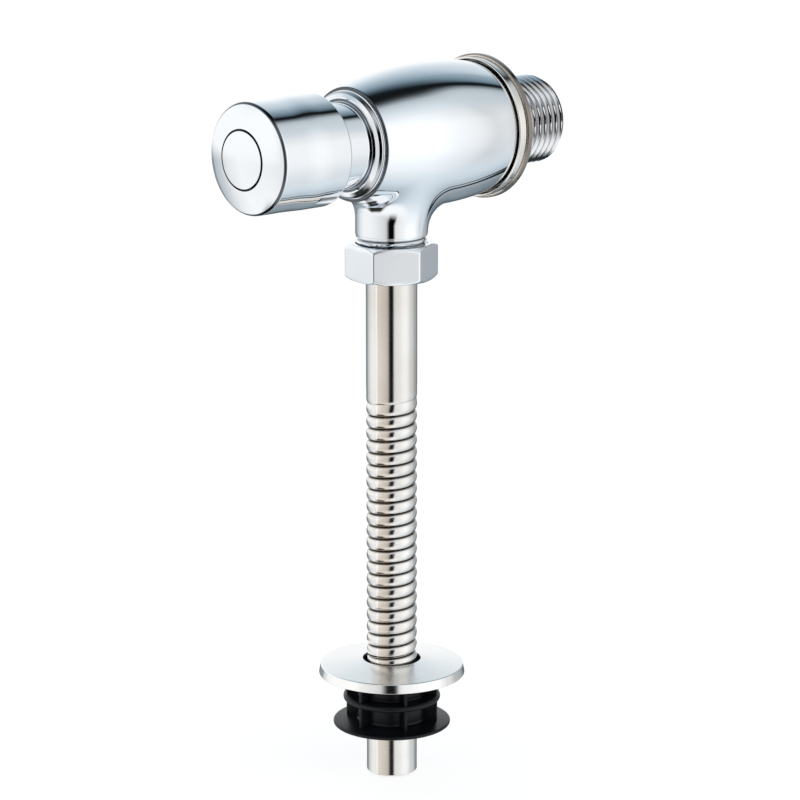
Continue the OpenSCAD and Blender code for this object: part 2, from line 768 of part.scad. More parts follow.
// The corrugated length: one helical groove rolled into the pipe, shallow at both ends
rib_sides = 20;
rib_rows = 5;
fade_turns = 2.5;
groove_sharpness = 1.6;
function groove_depth(turn, a) =
    let (near_end = min(turn, rib_turns - turn), fade = max(0, min(1, near_end / fade_turns)))
    rib_depth * fade * pow(0.5 + 0.5 * cos(360 * turn + a), groove_sharpness);
module corrugation() {
    rows = floor(rib_turns * rib_rows);
    over = 0.2;
    crest_r = pipe_r - 0.04;
    rings = [for (k = [0:rows]) let (turn = (rib_turns + 2 * over) * k / rows - over)
        for (i = [0:rib_sides - 1]) let (a = -360 * i / rib_sides, r = crest_r - groove_depth(turn, a))
            [r * sin(a), outlet_y + r * cos(a), rib_end_z + turn * rib_pitch]];
    ends = [for (turn = [-over, rib_turns + over]) [0, outlet_y, rib_end_z + turn * rib_pitch]];
    polyhedron(points = concat(rings, ends),
               faces = skin_faces(rows + 1, rib_sides), convexity = 10);
}

module flush_pipe() {
    color("#cfcac2") difference() {
        union() {
            z_bar(pipe_r, rib_top_z, pipe_top_z);
            corrugation();
            z_bar(pipe_r, pipe_end_z, rib_end_z);
        }
        z_bar(pipe_bore_r, pipe_end_z - 1, pipe_top_z + 1);
    }
}

// The loose cover plate that slides on the pipe
module escutcheon() {
    in_r = disc_top_r - disc_sheet;
    slope = disc_rise / (in_r - disc_hole_r);
    edge_z = spud_top_z + 2 * rest_gap + disc_sheet - slope * (in_r - spud_rim_r);
    low = edge_z - disc_rim;
    outer_r = disc_top_r + disc_flare;
    bend = 0.4;
    color("#e3e0da") turned_z() polygon([
        [disc_hole_r, edge_z + disc_rise], [disc_top_r - bend, edge_z + bend * slope],
        [disc_top_r, edge_z - bend / 3], [outer_r, low], [outer_r - disc_sheet, low],
        [in_r, edge_z - disc_sheet], [disc_hole_r, edge_z + disc_rise - disc_sheet]]);
}

// The ribbed rubber plug that seals the pipe into the urinal
module spud() {
    flange_t = 1;
    rim_t = 1.2;
    bead_h = 1.6;
    bead_drop = 5.3;
    bead_low_z = spud_top_z - bead_drop - bead_h;
    fin_in = 0.5;
    fin_r = spud_bead_r - fin_in;
    root = 1;
    root_r = spud_sleeve_r - root;
    fin_gap = 0.2;
    color("#1d1f24") difference() {
        union() {
            z_bar(spud_sleeve_r, spud_end_z, spud_top_z);
            z_bar(spud_rim_r, spud_top_z - rim_t, spud_top_z);
            turned_z() polygon([
                [root_r, spud_end_z], [spud_flange_r, spud_end_z],
                [spud_flange_r, spud_end_z + flange_t * 0.7],
                [spud_sleeve_r, spud_end_z + flange_t * 1.4], [root_r, spud_end_z + flange_t]]);
            turned_z() polygon(concat(
                [[fin_r - root, bead_low_z + bead_h], [fin_r - root, bead_low_z]],
                arc(spud_bead_r - bead_h / 2, bead_low_z + bead_h / 2, bead_h / 2, -90, 90)));
            for (i = [0:spud_fins - 1]) {
                translate([0, outlet_y, spud_end_z + fin_gap]) rotate(spud_turn + 360 * i / spud_fins)
                    translate([root_r, -fin_t / 2, 0])
                        cube([fin_r - root_r, fin_t, spud_len - 2 * fin_gap]);
            }
        }
        z_bar(spud_bore_r, spud_end_z - 1, spud_top_z + 1);
    }
}

valve_body();
inlet_nipple();
nipple_washer();
inlet_strainer();
wall_flange();
bonnet();
bonnet_seal();
stem_seal();
gland_ring();
return_spring();
spring_seat();
push_cap();
index_disc();
cap_screw();
stem();
piston_cup();
piston_plate();
piston_clip();
seat_washer();
valve_disc();
disc_nut();
outlet_nut();
outlet_washer();
thrust_ring();
flush_pipe();
escutcheon();
spud();
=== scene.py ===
import json
import math

import bmesh
import bpy
import numpy as np
from mathutils import Matrix, Vector

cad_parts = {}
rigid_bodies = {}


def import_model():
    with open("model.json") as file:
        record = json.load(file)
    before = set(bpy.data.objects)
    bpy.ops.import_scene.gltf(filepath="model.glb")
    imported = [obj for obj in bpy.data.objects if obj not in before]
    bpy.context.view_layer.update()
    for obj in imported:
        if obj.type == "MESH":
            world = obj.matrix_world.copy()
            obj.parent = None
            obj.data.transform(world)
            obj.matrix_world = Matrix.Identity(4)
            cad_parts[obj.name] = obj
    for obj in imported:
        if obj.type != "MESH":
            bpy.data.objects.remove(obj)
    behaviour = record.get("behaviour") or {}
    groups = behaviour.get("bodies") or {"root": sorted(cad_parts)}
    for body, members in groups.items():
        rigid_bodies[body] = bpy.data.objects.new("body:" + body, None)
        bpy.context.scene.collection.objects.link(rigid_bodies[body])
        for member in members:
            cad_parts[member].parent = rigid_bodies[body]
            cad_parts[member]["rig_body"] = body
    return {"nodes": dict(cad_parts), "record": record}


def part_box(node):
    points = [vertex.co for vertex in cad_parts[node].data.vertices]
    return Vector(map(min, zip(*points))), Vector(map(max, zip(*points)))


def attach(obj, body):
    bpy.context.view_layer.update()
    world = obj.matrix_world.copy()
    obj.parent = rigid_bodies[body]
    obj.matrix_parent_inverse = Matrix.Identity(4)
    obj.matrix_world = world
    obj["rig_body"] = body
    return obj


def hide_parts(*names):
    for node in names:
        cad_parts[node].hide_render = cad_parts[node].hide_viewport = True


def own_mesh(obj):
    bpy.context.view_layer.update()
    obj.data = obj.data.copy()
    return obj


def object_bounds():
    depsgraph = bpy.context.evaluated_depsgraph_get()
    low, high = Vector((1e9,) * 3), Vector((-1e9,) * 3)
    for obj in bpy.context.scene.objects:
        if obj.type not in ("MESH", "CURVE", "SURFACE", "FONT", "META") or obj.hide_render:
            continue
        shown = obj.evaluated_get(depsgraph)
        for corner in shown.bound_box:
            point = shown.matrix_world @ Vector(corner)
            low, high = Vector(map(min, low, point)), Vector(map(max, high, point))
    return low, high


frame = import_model()
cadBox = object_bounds()
mm = 0.001
print("frame loaded,", len(frame["nodes"]), "nodes")


# Corners of a node's box, in millimetres
def low(node):
    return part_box(node)[0] / mm


def high(node):
    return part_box(node)[1] / mm


outletY = (low("flush_pipe").y + high("flush_pipe").y) / 2
alongInlet = Matrix.Rotation(math.radians(-90), 4, "X")
alongOutlet = Matrix.Translation((0, outletY, 0))
scene = bpy.context.scene
scene.view_settings.view_transform = "Standard"


def addObject(name, data):
    item = bpy.data.objects.new(name, data)
    scene.collection.objects.link(item)
    return item


# Where the photograph was taken from, in millimetres and degrees
photoView = {
    "place": (516.4, -517.7, 110.7), "azimuth": 46.42, "elevation": 13.64, "lens": 140.5, "sensor": 36,
}


def makeCamera(view):
    data = bpy.data.cameras.new("camera")
    data.lens = view["lens"]
    data.sensor_width = view["sensor"]
    camera = addObject("camera", data)
    camera.location = Vector(view["place"]) * mm
    tilt = math.radians(90 - view["elevation"])
    camera.rotation_euler = (tilt, 0, math.radians(view["azimuth"]))
    scene.camera = camera


makeCamera(photoView)
print("camera placed")


# Node helpers, for shaders, the world and Geometry Nodes alike
def plug(tree, socket, value):
    if isinstance(value, bpy.types.NodeSocket):
        tree.links.new(value, socket)
    else:
        socket.default_value = value


def addNode(tree, kind, inputs=None, **settings):
    node = tree.nodes.new(kind)
    for name, value in settings.items():
        setattr(node, name, value)
    for name, value in (inputs or {}).items():
        plug(tree, node.inputs[name], value)
    return node


def newGroup(kind, name, inputs, outputs):
    tree = bpy.data.node_groups.new(name, kind + "NodeTree")
    for way, sockets in (("INPUT", inputs), ("OUTPUT", outputs)):
        for label, socket in sockets.items():
            tree.interface.new_socket(name=label, in_out=way, socket_type="NodeSocket" + socket)
    return tree, addNode(tree, "NodeGroupInput").outputs, addNode(tree, "NodeGroupOutput").inputs


def calc(tree, operation, *values):
    return addNode(tree, "ShaderNodeMath", dict(enumerate(values)), operation=operation).outputs[0]


def vectorCalc(tree, operation, *values):
    return addNode(tree, "ShaderNodeVectorMath", dict(enumerate(values)), operation=operation).outputs


def plus(tree, first, second):
    return calc(tree, "ADD", first, second)


def minus(tree, first, second):
    return calc(tree, "SUBTRACT", first, second)


def times(tree, product, *values):
    for value in values:
        product = calc(tree, "MULTIPLY", product, value)
    return product


def smoothStep(tree, value, start, end):
    inputs = {0: value, 1: start, 2: end}
    return addNode(tree, "ShaderNodeMapRange", inputs, interpolation_type="SMOOTHSTEP").outputs[0]


# A hump over an angle: it rises between the first two values and falls between the last two
def hump(tree, angle, rise, full, fall, end):
    up = smoothStep(tree, angle, math.radians(rise), math.radians(full))
    return times(tree, up, smoothStep(tree, angle, math.radians(end), math.radians(fall)))


def mixColour(tree, factor, first, second, blend="MIX"):
    inputs = {0: factor, 6: first, 7: second}
    return addNode(tree, "ShaderNodeMix", inputs, data_type="RGBA", blend_type=blend).outputs[2]


screenGamma = 2.2
blueShift = (-0.6, 0.0, 0.4)  # what a hint of blue adds to red, green and blue


# A brightness as it looks on screen, with a hint of blue, as linear colour
def tone(shown, blue=0.0):
    return [max(0.0, shown + shift * blue) ** screenGamma for shift in blueShift] + [1]


def toneRamp(tree, angle, stops):
    turn = addNode(tree, "ShaderNodeMapRange", {0: angle, 1: -math.pi, 2: math.pi}).outputs[0]
    ramp = addNode(tree, "ShaderNodeValToRGB", {0: turn})
    for extra in range(len(stops) - 2):
        ramp.color_ramp.elements.new(0.5)
    for element, (degrees, *shade) in zip(ramp.color_ramp.elements, stops):
        element.position = (degrees + 180) / 360
        element.color = tone(*shade)
    return ramp.outputs[0]


# The studio, as polished metal sees it. Each stop is an angle, a brightness and a hint of blue.
# A pair of values is where a fade starts and ends, along one axis of the direction looked in.
studio = {
    # round the valve's long axis: the right side, over the top at 90, the left side
    "over": [(-180, 0.98), (-160, 0.90, 0.02), (-142, 0.74, 0.06), (-125, 0.66, 0.09),
             (-108, 0.60, 0.06), (-96, 0.66, 0.05), (-84, 0.74, 0.07), (-70, 0.84, 0.07),
             (-45, 0.94, 0.03), (-15, 0.99, 0.01), (22, 1.0), (38, 0.95, 0.02), (50, 0.88, 0.05),
             (60, 0.80, 0.05), (66, 0.72, 0.05), (71, 0.52, 0.05), (76, 0.28, 0.03), (81, 0.14, 0.02),
             (88, 0.11, 0.02), (97, 0.13, 0.03), (102, 0.24, 0.07), (108, 0.39, 0.10),
             (118, 0.58, 0.12), (130, 0.72, 0.10), (146, 0.90, 0.05), (162, 0.97, 0.01), (180, 0.98)],
    # fine dark lines low on the right, broader towards the wall: angle, half width and brightness
    "lines": [(-94.0, 2.6, 0.10), (-87.5, 1.2, 0.16)], "lineCore": 0.4,
    "linesWiden": 0.65, "widenWay": (0.68, 0.85),
    # round the horizon, from behind on the left: the gap at -45 is where the camera stands
    "horizon": [(-180, 0.76, 0.03), (-168, 0.82, 0.03), (-156, 0.92, 0.01), (-140, 0.98),
                (-112, 0.97), (-92, 0.93), (-70, 0.87), (-60, 0.80), (-55, 0.50), (-51, 0.07),
                (-38, 0.05), (-35, 0.50), (-32, 0.86), (-26, 0.93), (0, 0.98), (14, 1.02),
                (28, 1.02), (40, 0.96), (47, 0.92), (54, 0.85), (62, 0.88), (72, 0.94),
                (84, 0.95, 0.03), (98, 0.88, 0.05), (110, 0.58, 0.05), (138, 0.42, 0.05),
                (156, 0.60, 0.05)],
    # it shows neither high up nor far down, and not on the left side above a low line
    "steepWay": (0.35, 0.8), "leftWay": (0.0, -0.3), "leftRise": (-0.2, -0.08), "bareShade": 1.0,
    # towards the wall the dark roof narrows: from where and how far, and by how many degrees above
    # and below, each over a hump of angles
    "roofNarrows": 0.3, "narrowMost": 0.5, "narrowAbove": 42, "aboveHump": (80, 95, 112, 150),
    "narrowBelow": 9, "belowWay": (0.45, 0.7), "belowHump": (52, 76, 84, 91),
    # the roof ends at the wall, and there is neither roof nor shade far in front of the button
    "roofEnd": 0.72, "roofWay": (0.84, 0.98), "frontShade": 0.98, "frontWay": (-0.45, -0.85),
    # bright low down in front
    "lowShade": 0.97, "lowWay": (0.1, -0.2), "lowFall": (0.1, -0.1),
    # a dark patch straight below, in front of the wall
    "under": -108, "underHalf": 24, "underShade": 0.2, "underBack": (0.35, 0.0),
    "underFront": (-0.8, -0.5),
    "strength": 1.08,
}


def makeStudio(look):
    world = bpy.data.worlds.new("studio")
    scene.world = world
    world.use_nodes = True
    tree = world.node_tree
    tree.nodes.clear()
    direction = addNode(tree, "ShaderNodeTexCoord").outputs["Generated"]
    x, y, z = addNode(tree, "ShaderNodeSeparateXYZ", {0: direction}).outputs
    around = calc(tree, "ARCTAN2", z, x)

    def fade(value, name):
        return smoothStep(tree, value, *look[name])

    def cover(lower, share, shade):
        return mixColour(tree, share, lower, tone(shade))

    def angleFrom(degrees):
        return calc(tree, "ABSOLUTE", minus(tree, around, math.radians(degrees)))

    past = calc(tree, "MAXIMUM", minus(tree, y, look["roofNarrows"]), 0.0)
    past = calc(tree, "MINIMUM", past, look["narrowMost"])
    above = times(tree, past, math.radians(look["narrowAbove"]), hump(tree, around, *look["aboveHump"]))
    below = times(tree, fade(y, "belowWay"), math.radians(look["narrowBelow"]),
                  hump(tree, around, *look["belowHump"]))
    over = toneRamp(tree, minus(tree, plus(tree, around, above), below), look["over"])
    nearer = minus(tree, 1.0, times(tree, fade(y, "widenWay"), look["linesWiden"]))
    for angle, half, shade in look["lines"]:
        off = times(tree, angleFrom(angle), nearer)
        line = smoothStep(tree, off, math.radians(half), math.radians(half * look["lineCore"]))
        over = cover(over, line, shade)
    over = cover(over, fade(y, "roofWay"), look["roofEnd"])
    over = cover(over, fade(y, "frontWay"), look["frontShade"])
    over = cover(over, times(tree, fade(y, "lowWay"), fade(z, "lowFall")), look["lowShade"])
    half = look["underHalf"]
    patch = smoothStep(tree, angleFrom(look["under"]), math.radians(half), math.radians(half / 2))
    near = times(tree, fade(y, "underBack"), fade(y, "underFront"))
    over = cover(over, times(tree, patch, near), look["underShade"])
    horizon = toneRamp(tree, calc(tree, "ARCTAN2", y, x), look["horizon"])
    steep = fade(calc(tree, "ABSOLUTE", z), "steepWay")
    left = times(tree, fade(x, "leftWay"), fade(z, "leftRise"))
    horizon = cover(horizon, calc(tree, "MAXIMUM", steep, left), look["bareShade"])
    light = mixColour(tree, 1.0, over, horizon, "MULTIPLY")
    # the camera itself sees a plain white backdrop
    seen = addNode(tree, "ShaderNodeLightPath").outputs["Is Camera Ray"]
    shown = cover(light, seen, 1.0)
    glow = addNode(tree, "ShaderNodeBackground", {"Color": shown, "Strength": look["strength"]})
    addNode(tree, "ShaderNodeOutputWorld", {"Surface": glow.outputs[0]})


makeStudio(studio)
print("studio lit")


# Shader groups. Each is built once and used with its own values in several finishes.
def noise(tree, vector, scale, detail, rough=0.5):
    kind = {"Vector": vector, "Scale": scale, "Detail": detail, "Roughness": rough}
    return addNode(tree, "ShaderNodeTexNoise", kind).outputs[0]


# Wipe marks, fine scratches and a slightly uneven polish
def makePolishGroup():
    inputs = {"Vector": "Vector", "Scale": "Float", "Base": "Float", "Spread": "Float"}
    outputs = {"Roughness": "Float", "Height": "Float"}
    tree, given, made = newGroup("Shader", "polishMarks", inputs, outputs)
    stretch, cloudShare, smoothest = (1.0, 7.0, 2.0), 0.6, -0.02
    long = addNode(tree, "ShaderNodeMapping", {"Vector": given["Vector"], "Scale": stretch}).outputs[0]
    cloud = noise(tree, given["Vector"], given["Scale"], detail=3.0)
    wipes = noise(tree, long, given["Scale"], detail=6.0, rough=0.6)
    uneven = plus(tree, times(tree, cloud, cloudShare), times(tree, wipes, 1 - cloudShare))
    signed = times(tree, minus(tree, uneven, 0.5), given["Spread"])
    plug(tree, made["Roughness"], plus(tree, given["Base"], calc(tree, "MAXIMUM", signed, smoothest)))
    plug(tree, made["Height"], wipes)
    return tree


# Colour that drifts between two shades, with darker specks
def makeMottleGroup():
    inputs = {"Vector": "Vector", "Scale": "Float", "Light": "Color", "Dark": "Color", "Specks": "Float"}
    outputs = {"Color": "Color", "Height": "Float"}
    tree, given, made = newGroup("Shader", "mottledColour", inputs, outputs)
    drift, speckFrom, finer = (0.3, 0.7), (0.6, 0.75), 9.0
    cloud = smoothStep(tree, noise(tree, given["Vector"], given["Scale"], detail=5.0), *drift)
    grain = noise(tree, given["Vector"], times(tree, given["Scale"], finer), detail=2.0)
    speck = times(tree, smoothStep(tree, grain, *speckFrom), given["Specks"])
    colour = mixColour(tree, cloud, given["Dark"], given["Light"])
    plug(tree, made["Color"], mixColour(tree, speck, colour, given["Dark"]))
    plug(tree, made["Height"], grain)
    return tree


# A ring round an axis: it starts between the first two radii and ends between the last two, and
# it is kept where the place lies further along Way than Beyond
def makeRingMaskGroup():
    inputs = {name: "Vector" for name in ("Vector", "Centre", "Across", "Way")}
    inputs.update({name: "Float" for name in ("Beyond", "Start", "Full", "Fall", "End")})
    tree, given, made = newGroup("Shader", "ringMask", inputs, {"Mask": "Float"})
    fromAxis = vectorCalc(tree, "SUBTRACT", given["Vector"], given["Centre"])["Vector"]
    across = vectorCalc(tree, "MULTIPLY", fromAxis, given["Across"])["Vector"]
    radius = vectorCalc(tree, "LENGTH", across)["Value"]
    start = smoothStep(tree, radius, given["Start"], given["Full"])
    ring = times(tree, start, smoothStep(tree, radius, given["End"], given["Fall"]))
    along = vectorCalc(tree, "DOT_PRODUCT", given["Vector"], given["Way"])["Value"]
    kept = calc(tree, "GREATER_THAN", along, given["Beyond"])
    plug(tree, made["Mask"], times(tree, ring, kept))
    return tree


polishMarks = makePolishGroup()
mottledColour = makeMottleGroup()
ringMask = makeRingMaskGroup()

# Where a ring may lie: centre, directions across it, and the way and distance it lies beyond
axes = {
    "inlet": ((0, 0, 0), (1, 0, 1), (0, 0, 0), -1),
    "buttonFront": ((0, 0, 0), (1, 0, 1), (0, -1, 0), 66 * mm),
    "outlet": ((0, outletY * mm, 0), (1, 1, 0), (0, 0, 0), -1),
    "bossThread": ((0, outletY * mm, 0), (1, 1, 0), (0, 0, -1), 22 * mm),
}

# The pipe's welded seam: a fine raised line, coloured lighter along it as a painted highlight, with a warm
# tint on one side of it.
# Its place and fades are angles round the pipe, the first in degrees and the others in radians.
seamLook = {
    "at": -79, "wander": 0.05, "wanderScale": 300.0, "line": (0.045, 0.015),
    "tintStart": (0.02, 0.08), "tintEnd": (0.64, 0.48), "tint": (0.88, 0.82, 0.75),
    "highlightColour": (1.0, 0.98, 0.95), "bump": 0.6, "depth": 0.00005,
}

# The finish of each material slot. A ring has its place, the radii where it starts, is full, falls and
# ends, and then a tint and a share;
# it darkens its band, and what it paints, painted shade, painted reflection or dirt as well, is said beside
# it.
# The first radii of a ring that fills its centre are below zero.
finishes = {
    "body_chrome": {
        "light": (0.93, 0.955, 0.98), "dark": (0.90, 0.93, 0.965), "roughness": 0.03, "rings": [
            # darker in the roots of the boss's thread: dirt there, and painted shade
            ("bossThread", -2, -1, 7.85, 8.15, (0.16, 0.17, 0.18), 0.8),
            # painted dark reflection and shade: on the collar's face, on its bevel, and on the barrel's
            # front face behind the collar
            ("inlet", 10.02, 10.1, 10.6, 10.75, (0.07, 0.09, 0.12), 0.92),
            ("inlet", 11.75, 11.8, 12.2, 12.25, (0.30, 0.33, 0.37), 0.6),
            ("inlet", 12.38, 12.44, 13.08, 13.2, (0.04, 0.05, 0.06), 0.92)]},
    "button_chrome": {
        "light": (0.94, 0.96, 0.98), "dark": (0.91, 0.94, 0.97), "roughness": 0.03, "rings": [
            # painted shade in the gap round the index disc
            ("inlet", 6.40, 6.47, 6.91, 6.96, (0.05, 0.06, 0.07), 1.0),
            # a painted dark reflection along the rounded front edge of the button
            ("buttonFront", 12.13, 12.22, 12.62, 12.68, (0.05, 0.06, 0.08), 0.92)]},
    "nut_chrome": {"light": (0.92, 0.95, 0.98), "dark": (0.87, 0.91, 0.95), "roughness": 0.10},
    "thread_chrome": {
        "light": (0.90, 0.91, 0.93), "dark": (0.80, 0.82, 0.84), "roughness": 0.07, "rings": [
            # darker in the thread's roots: dirt there, and painted shade
            ("inlet", -2, -1, 9.5, 10.1, (0.07, 0.07, 0.08), 0.85)]},
    "flange_steel": {
        "light": (0.95, 0.92, 0.87), "dark": (0.88, 0.84, 0.79), "roughness": 0.12, "rings": [
            # painted shade in the corner inside the rosette's lip; then the rim beyond the lip darker and
            # browner
            ("inlet", 15.0, 15.2, 15.8, 15.94, (0.05, 0.045, 0.04), 0.9),
            ("inlet", 16.58, 16.68, 20, 21, (0.16, 0.13, 0.11), 0.8)]},
    "pipe_steel": {
        "light": (0.90, 0.89, 0.87), "dark": (0.80, 0.775, 0.735), "roughness": 0.13,
        # its grooves darker and brown: dirt there, and painted shade
        "seam": seamLook, "rings": [("outlet", -2, -1, 5.42, 5.72, (0.10, 0.07, 0.045), 0.9)]},
    # its rim is smoother than its face: a ring and then a roughness
    "plate_steel": {
        "light": (0.985, 0.98, 0.97), "dark": (0.96, 0.955, 0.945), "roughness": 0.26,
        "polished": ("outlet", 16.6, 16.95, 20, 21, 0.12)},
    "brass": {"light": (0.86, 0.68, 0.36), "dark": (0.70, 0.52, 0.25), "roughness": 0.22},
    "spring_steel": {"light": (0.80, 0.81, 0.82), "dark": (0.62, 0.62, 0.62), "roughness": 0.18},
    "seal_rubber": {
        "light": (0.030, 0.030, 0.033), "dark": (0.012, 0.012, 0.013), "roughness": 0.55},
    "spud_rubber": {
        "light": (0.0065, 0.0075, 0.010), "dark": (0.0035, 0.004, 0.0055), "roughness": 0.30,
        "specular": 0.24},
    "white_plastic": {"light": (0.86, 0.86, 0.84), "dark": (0.80, 0.79, 0.76), "roughness": 0.38},
}

# What polished metal has in common, and what rubber and plastic have
metals = ("chrome", "steel", "brass")
metalGrain = {"specks": 0.3, "bump": 0.05, "depth": 0.00002}
softGrain = {"specks": 0.6, "bump": 0.25, "depth": 0.0001}
wipeScale = 90.0
mottleScale = 70.0


def newMaterial(name):
    material = bpy.data.materials.new(name)
    material.use_nodes = True
    material.node_tree.nodes.clear()
    shader = addNode(material.node_tree, "ShaderNodeBsdfPrincipled")
    addNode(material.node_tree, "ShaderNodeOutputMaterial", {"Surface": shader.outputs[0]})
    return material, shader


def useGroup(tree, group, inputs):
    return addNode(tree, "ShaderNodeGroup", inputs, node_tree=group).outputs


def ringAt(tree, place, axis, *radii):
    values = dict(zip(("Centre", "Across", "Way", "Beyond"), axes[axis]))
    values.update(zip(("Start", "Full", "Fall", "End"), [radius * mm for radius in radii]))
    return useGroup(tree, ringMask, {"Vector": place, **values})["Mask"]


def makeSeam(tree, place, look):
    x, y, z = addNode(tree, "ShaderNodeSeparateXYZ", {0: place}).outputs
    angle = calc(tree, "ARCTAN2", minus(tree, y, outletY * mm), x)
    drift = minus(tree, noise(tree, place, look["wanderScale"], detail=2.0), 0.5)
    side = plus(tree, minus(tree, angle, math.radians(look["at"])), times(tree, drift, look["wander"]))
    line = smoothStep(tree, calc(tree, "ABSOLUTE", side), *look["line"])
    start = smoothStep(tree, side, *look["tintStart"])
    return line, times(tree, start, smoothStep(tree, side, *look["tintEnd"]))


def makeFinish(name, look):
    material, shader = newMaterial(name)
    tree = material.node_tree
    place = addNode(tree, "ShaderNodeTexCoord").outputs["Object"]
    isMetal = name.endswith(metals)
    grain = metalGrain if isMetal else softGrain
    polish = useGroup(tree, polishMarks, {
        "Vector": place, "Scale": wipeScale, "Base": look["roughness"], "Spread": look["roughness"]})
    mottle = useGroup(tree, mottledColour, {
        "Vector": place, "Scale": mottleScale, "Light": (*look["light"], 1), "Dark": (*look["dark"], 1),
        "Specks": grain["specks"]})
    colour, roughness = mottle["Color"], polish["Roughness"]
    bump = addNode(tree, "ShaderNodeBump", {
        "Height": polish["Height"] if isMetal else mottle["Height"], "Strength": grain["bump"],
        "Distance": grain["depth"]}).outputs[0]
    if "seam" in look:
        seam = look["seam"]
        line, tinted = makeSeam(tree, place, seam)
        colour = mixColour(tree, tinted, colour, (*seam["tint"], 1), "MULTIPLY")
        # the seam's line is painted lighter: a painted highlight
        colour = mixColour(tree, line, colour, (*seam["highlightColour"], 1))
        bump = addNode(tree, "ShaderNodeBump", {
            "Height": line, "Strength": seam["bump"], "Distance": seam["depth"],
            "Normal": bump}).outputs[0]
    # rings darken bands of colour: painted shade and painted reflection, and in grooves dirt as well
    for *ring, tint, share in look.get("rings", []):
        mask = times(tree, ringAt(tree, place, *ring), share)
        colour = mixColour(tree, mask, colour, (*tint, 1))
    if "polished" in look:
        *ring, smooth = look["polished"]
        rim = ringAt(tree, place, *ring)
        kept = times(tree, roughness, minus(tree, 1.0, rim))
        roughness = plus(tree, kept, times(tree, rim, smooth))
    if "specular" in look:
        shader.inputs["Specular IOR Level"].default_value = look["specular"]
    shader.inputs["Metallic"].default_value = 1.0 if isMetal else 0.0
    plug(tree, shader.inputs["Base Color"], colour)
    plug(tree, shader.inputs["Roughness"], roughness)
    plug(tree, shader.inputs["Normal"], bump)
    return material


materials = {name: makeFinish(name, look) for name, look in finishes.items()}
slotOf = {row["node"]: row["material_slot"] for row in frame["record"]["subparts"]}
print("finishes made:", len(materials), "for", len(slotOf), "nodes")


# Shapes are worked out in millimetres. A turned shape lies along +Z until it is placed.
arcStep = 12  # degrees between the points of a rounding
arcShare = 0.48  # how much of an edge a rounding may take
holdWidth = 0.06  # a point is held this close to a rounding, so that the edge beside it stays flat
sharpAngle = 38  # edges that turn by more degrees are shaded sharp
mergeWithin = 1e-7  # in metres
justOutside = 0.1  # how far outside a bore a groove starts to count


# Each corner is a radius, a place along the axis and a rounding
def roundedOutline(corners, closed=True):
    points = []
    for i, (radius, along, fillet) in enumerate(corners):
        here = Vector((radius, along))
        if fillet == 0 or (not closed and i in (0, len(corners) - 1)):
            points.append(here)
            continue
        before = Vector(corners[i - 1][:2]) - here
        after = Vector(corners[(i + 1) % len(corners)][:2]) - here
        half = before.angle(after) / 2
        reach = min(fillet / math.tan(half), before.length * arcShare, after.length * arcShare)
        ball = reach * math.tan(half)
        inward = (before.normalized() + after.normalized()).normalized()
        centre = here + inward * ball / math.sin(half)
        start, end = (here + way.normalized() * reach - centre for way in (before, after))
        turn = start.angle(end)
        steps = max(2, math.ceil(math.degrees(turn) / arcStep))
        held = reach + holdWidth
        if before.length > 3 * held:
            points.append(here + before.normalized() * held)
        for k in range(steps + 1):
            t = k / steps
            bow = start * math.sin((1 - t) * turn) + end * math.sin(t * turn)
            points.append(centre + bow / math.sin(turn))
        if after.length > 3 * held:
            points.append(here + after.normalized() * held)
    return points


def newPiece(name, verts, faces):
    mesh = bpy.data.meshes.new(name)
    mesh.from_pydata([tuple(v) for v in verts], [], faces)
    return addObject(name, mesh)


# Faces between two rings of vertices, one of which may be a single point on the axis
def ringFaces(first, second):
    count = max(len(first), len(second))
    faces = []
    for i in range(count):
        j = (i + 1) % count
        if len(first) == 1:
            faces.append((first[0], second[i], second[j]))
        elif len(second) == 1:
            faces.append((first[i], second[0], first[j]))
        else:
            faces.append((first[i], second[i], second[j], first[j]))
    return faces


def turned(name, outline, around=192, closed=True):
    verts, rings = [], []
    for radius, along in outline:
        count = 1 if radius < 1e-6 else around
        rings.append(range(len(verts), len(verts) + count))
        for i in range(count):
            angle = 2 * math.pi * i / around
            verts.append((radius * math.cos(angle), radius * math.sin(angle), along))
    pairs = list(zip(rings, rings[1:])) + ([(rings[-1], rings[0])] if closed else [])
    return newPiece(name, verts, [face for a, b in pairs for face in ringFaces(a, b)])


def makePlain(piece):
    bpy.context.view_layer.update()
    evaluated = piece.evaluated_get(bpy.context.evaluated_depsgraph_get())
    mesh = bpy.data.meshes.new_from_object(evaluated)
    piece.modifiers.clear()
    piece.data = mesh


def cutWith(piece, cutter):
    modifier = piece.modifiers.new("cut", "BOOLEAN")
    modifier.operation = "DIFFERENCE"
    modifier.solver = "EXACT"
    modifier.object = cutter
    makePlain(piece)
    bpy.data.objects.remove(cutter)


def faceOutwards(mesh, merge=0):
    work = bmesh.new()
    work.from_mesh(mesh)
    if merge:
        bmesh.ops.remove_doubles(work, verts=work.verts, dist=merge)
    bmesh.ops.recalc_face_normals(work, faces=work.faces)
    work.to_mesh(mesh)
    work.free()


# Puts a finished shape where the frame has it and ties it to its body and node
def finishPiece(piece, node, place=Matrix.Identity(4)):
    mesh = piece.data
    mesh.transform(Matrix.Scale(mm, 4) @ place)
    faceOutwards(mesh, mergeWithin)
    mesh.shade_smooth()
    mesh.set_sharp_from_angle(angle=math.radians(sharpAngle))
    mesh.materials.clear()
    mesh.materials.append(materials[slotOf[node]])
    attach(piece, frame["nodes"][node]["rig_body"])
    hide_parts(node)
    print(piece.name, "made,", len(mesh.polygons), "faces")


# Both Geometry Nodes trees end in real meshes, not instances, with their finish
def withFinish(tree, geometry, finish):
    whole = addNode(tree, "GeometryNodeRealizeInstances", {0: geometry}).outputs[0]
    return addNode(tree, "GeometryNodeSetMaterial", {0: whole, "Material": finish}).outputs[0]


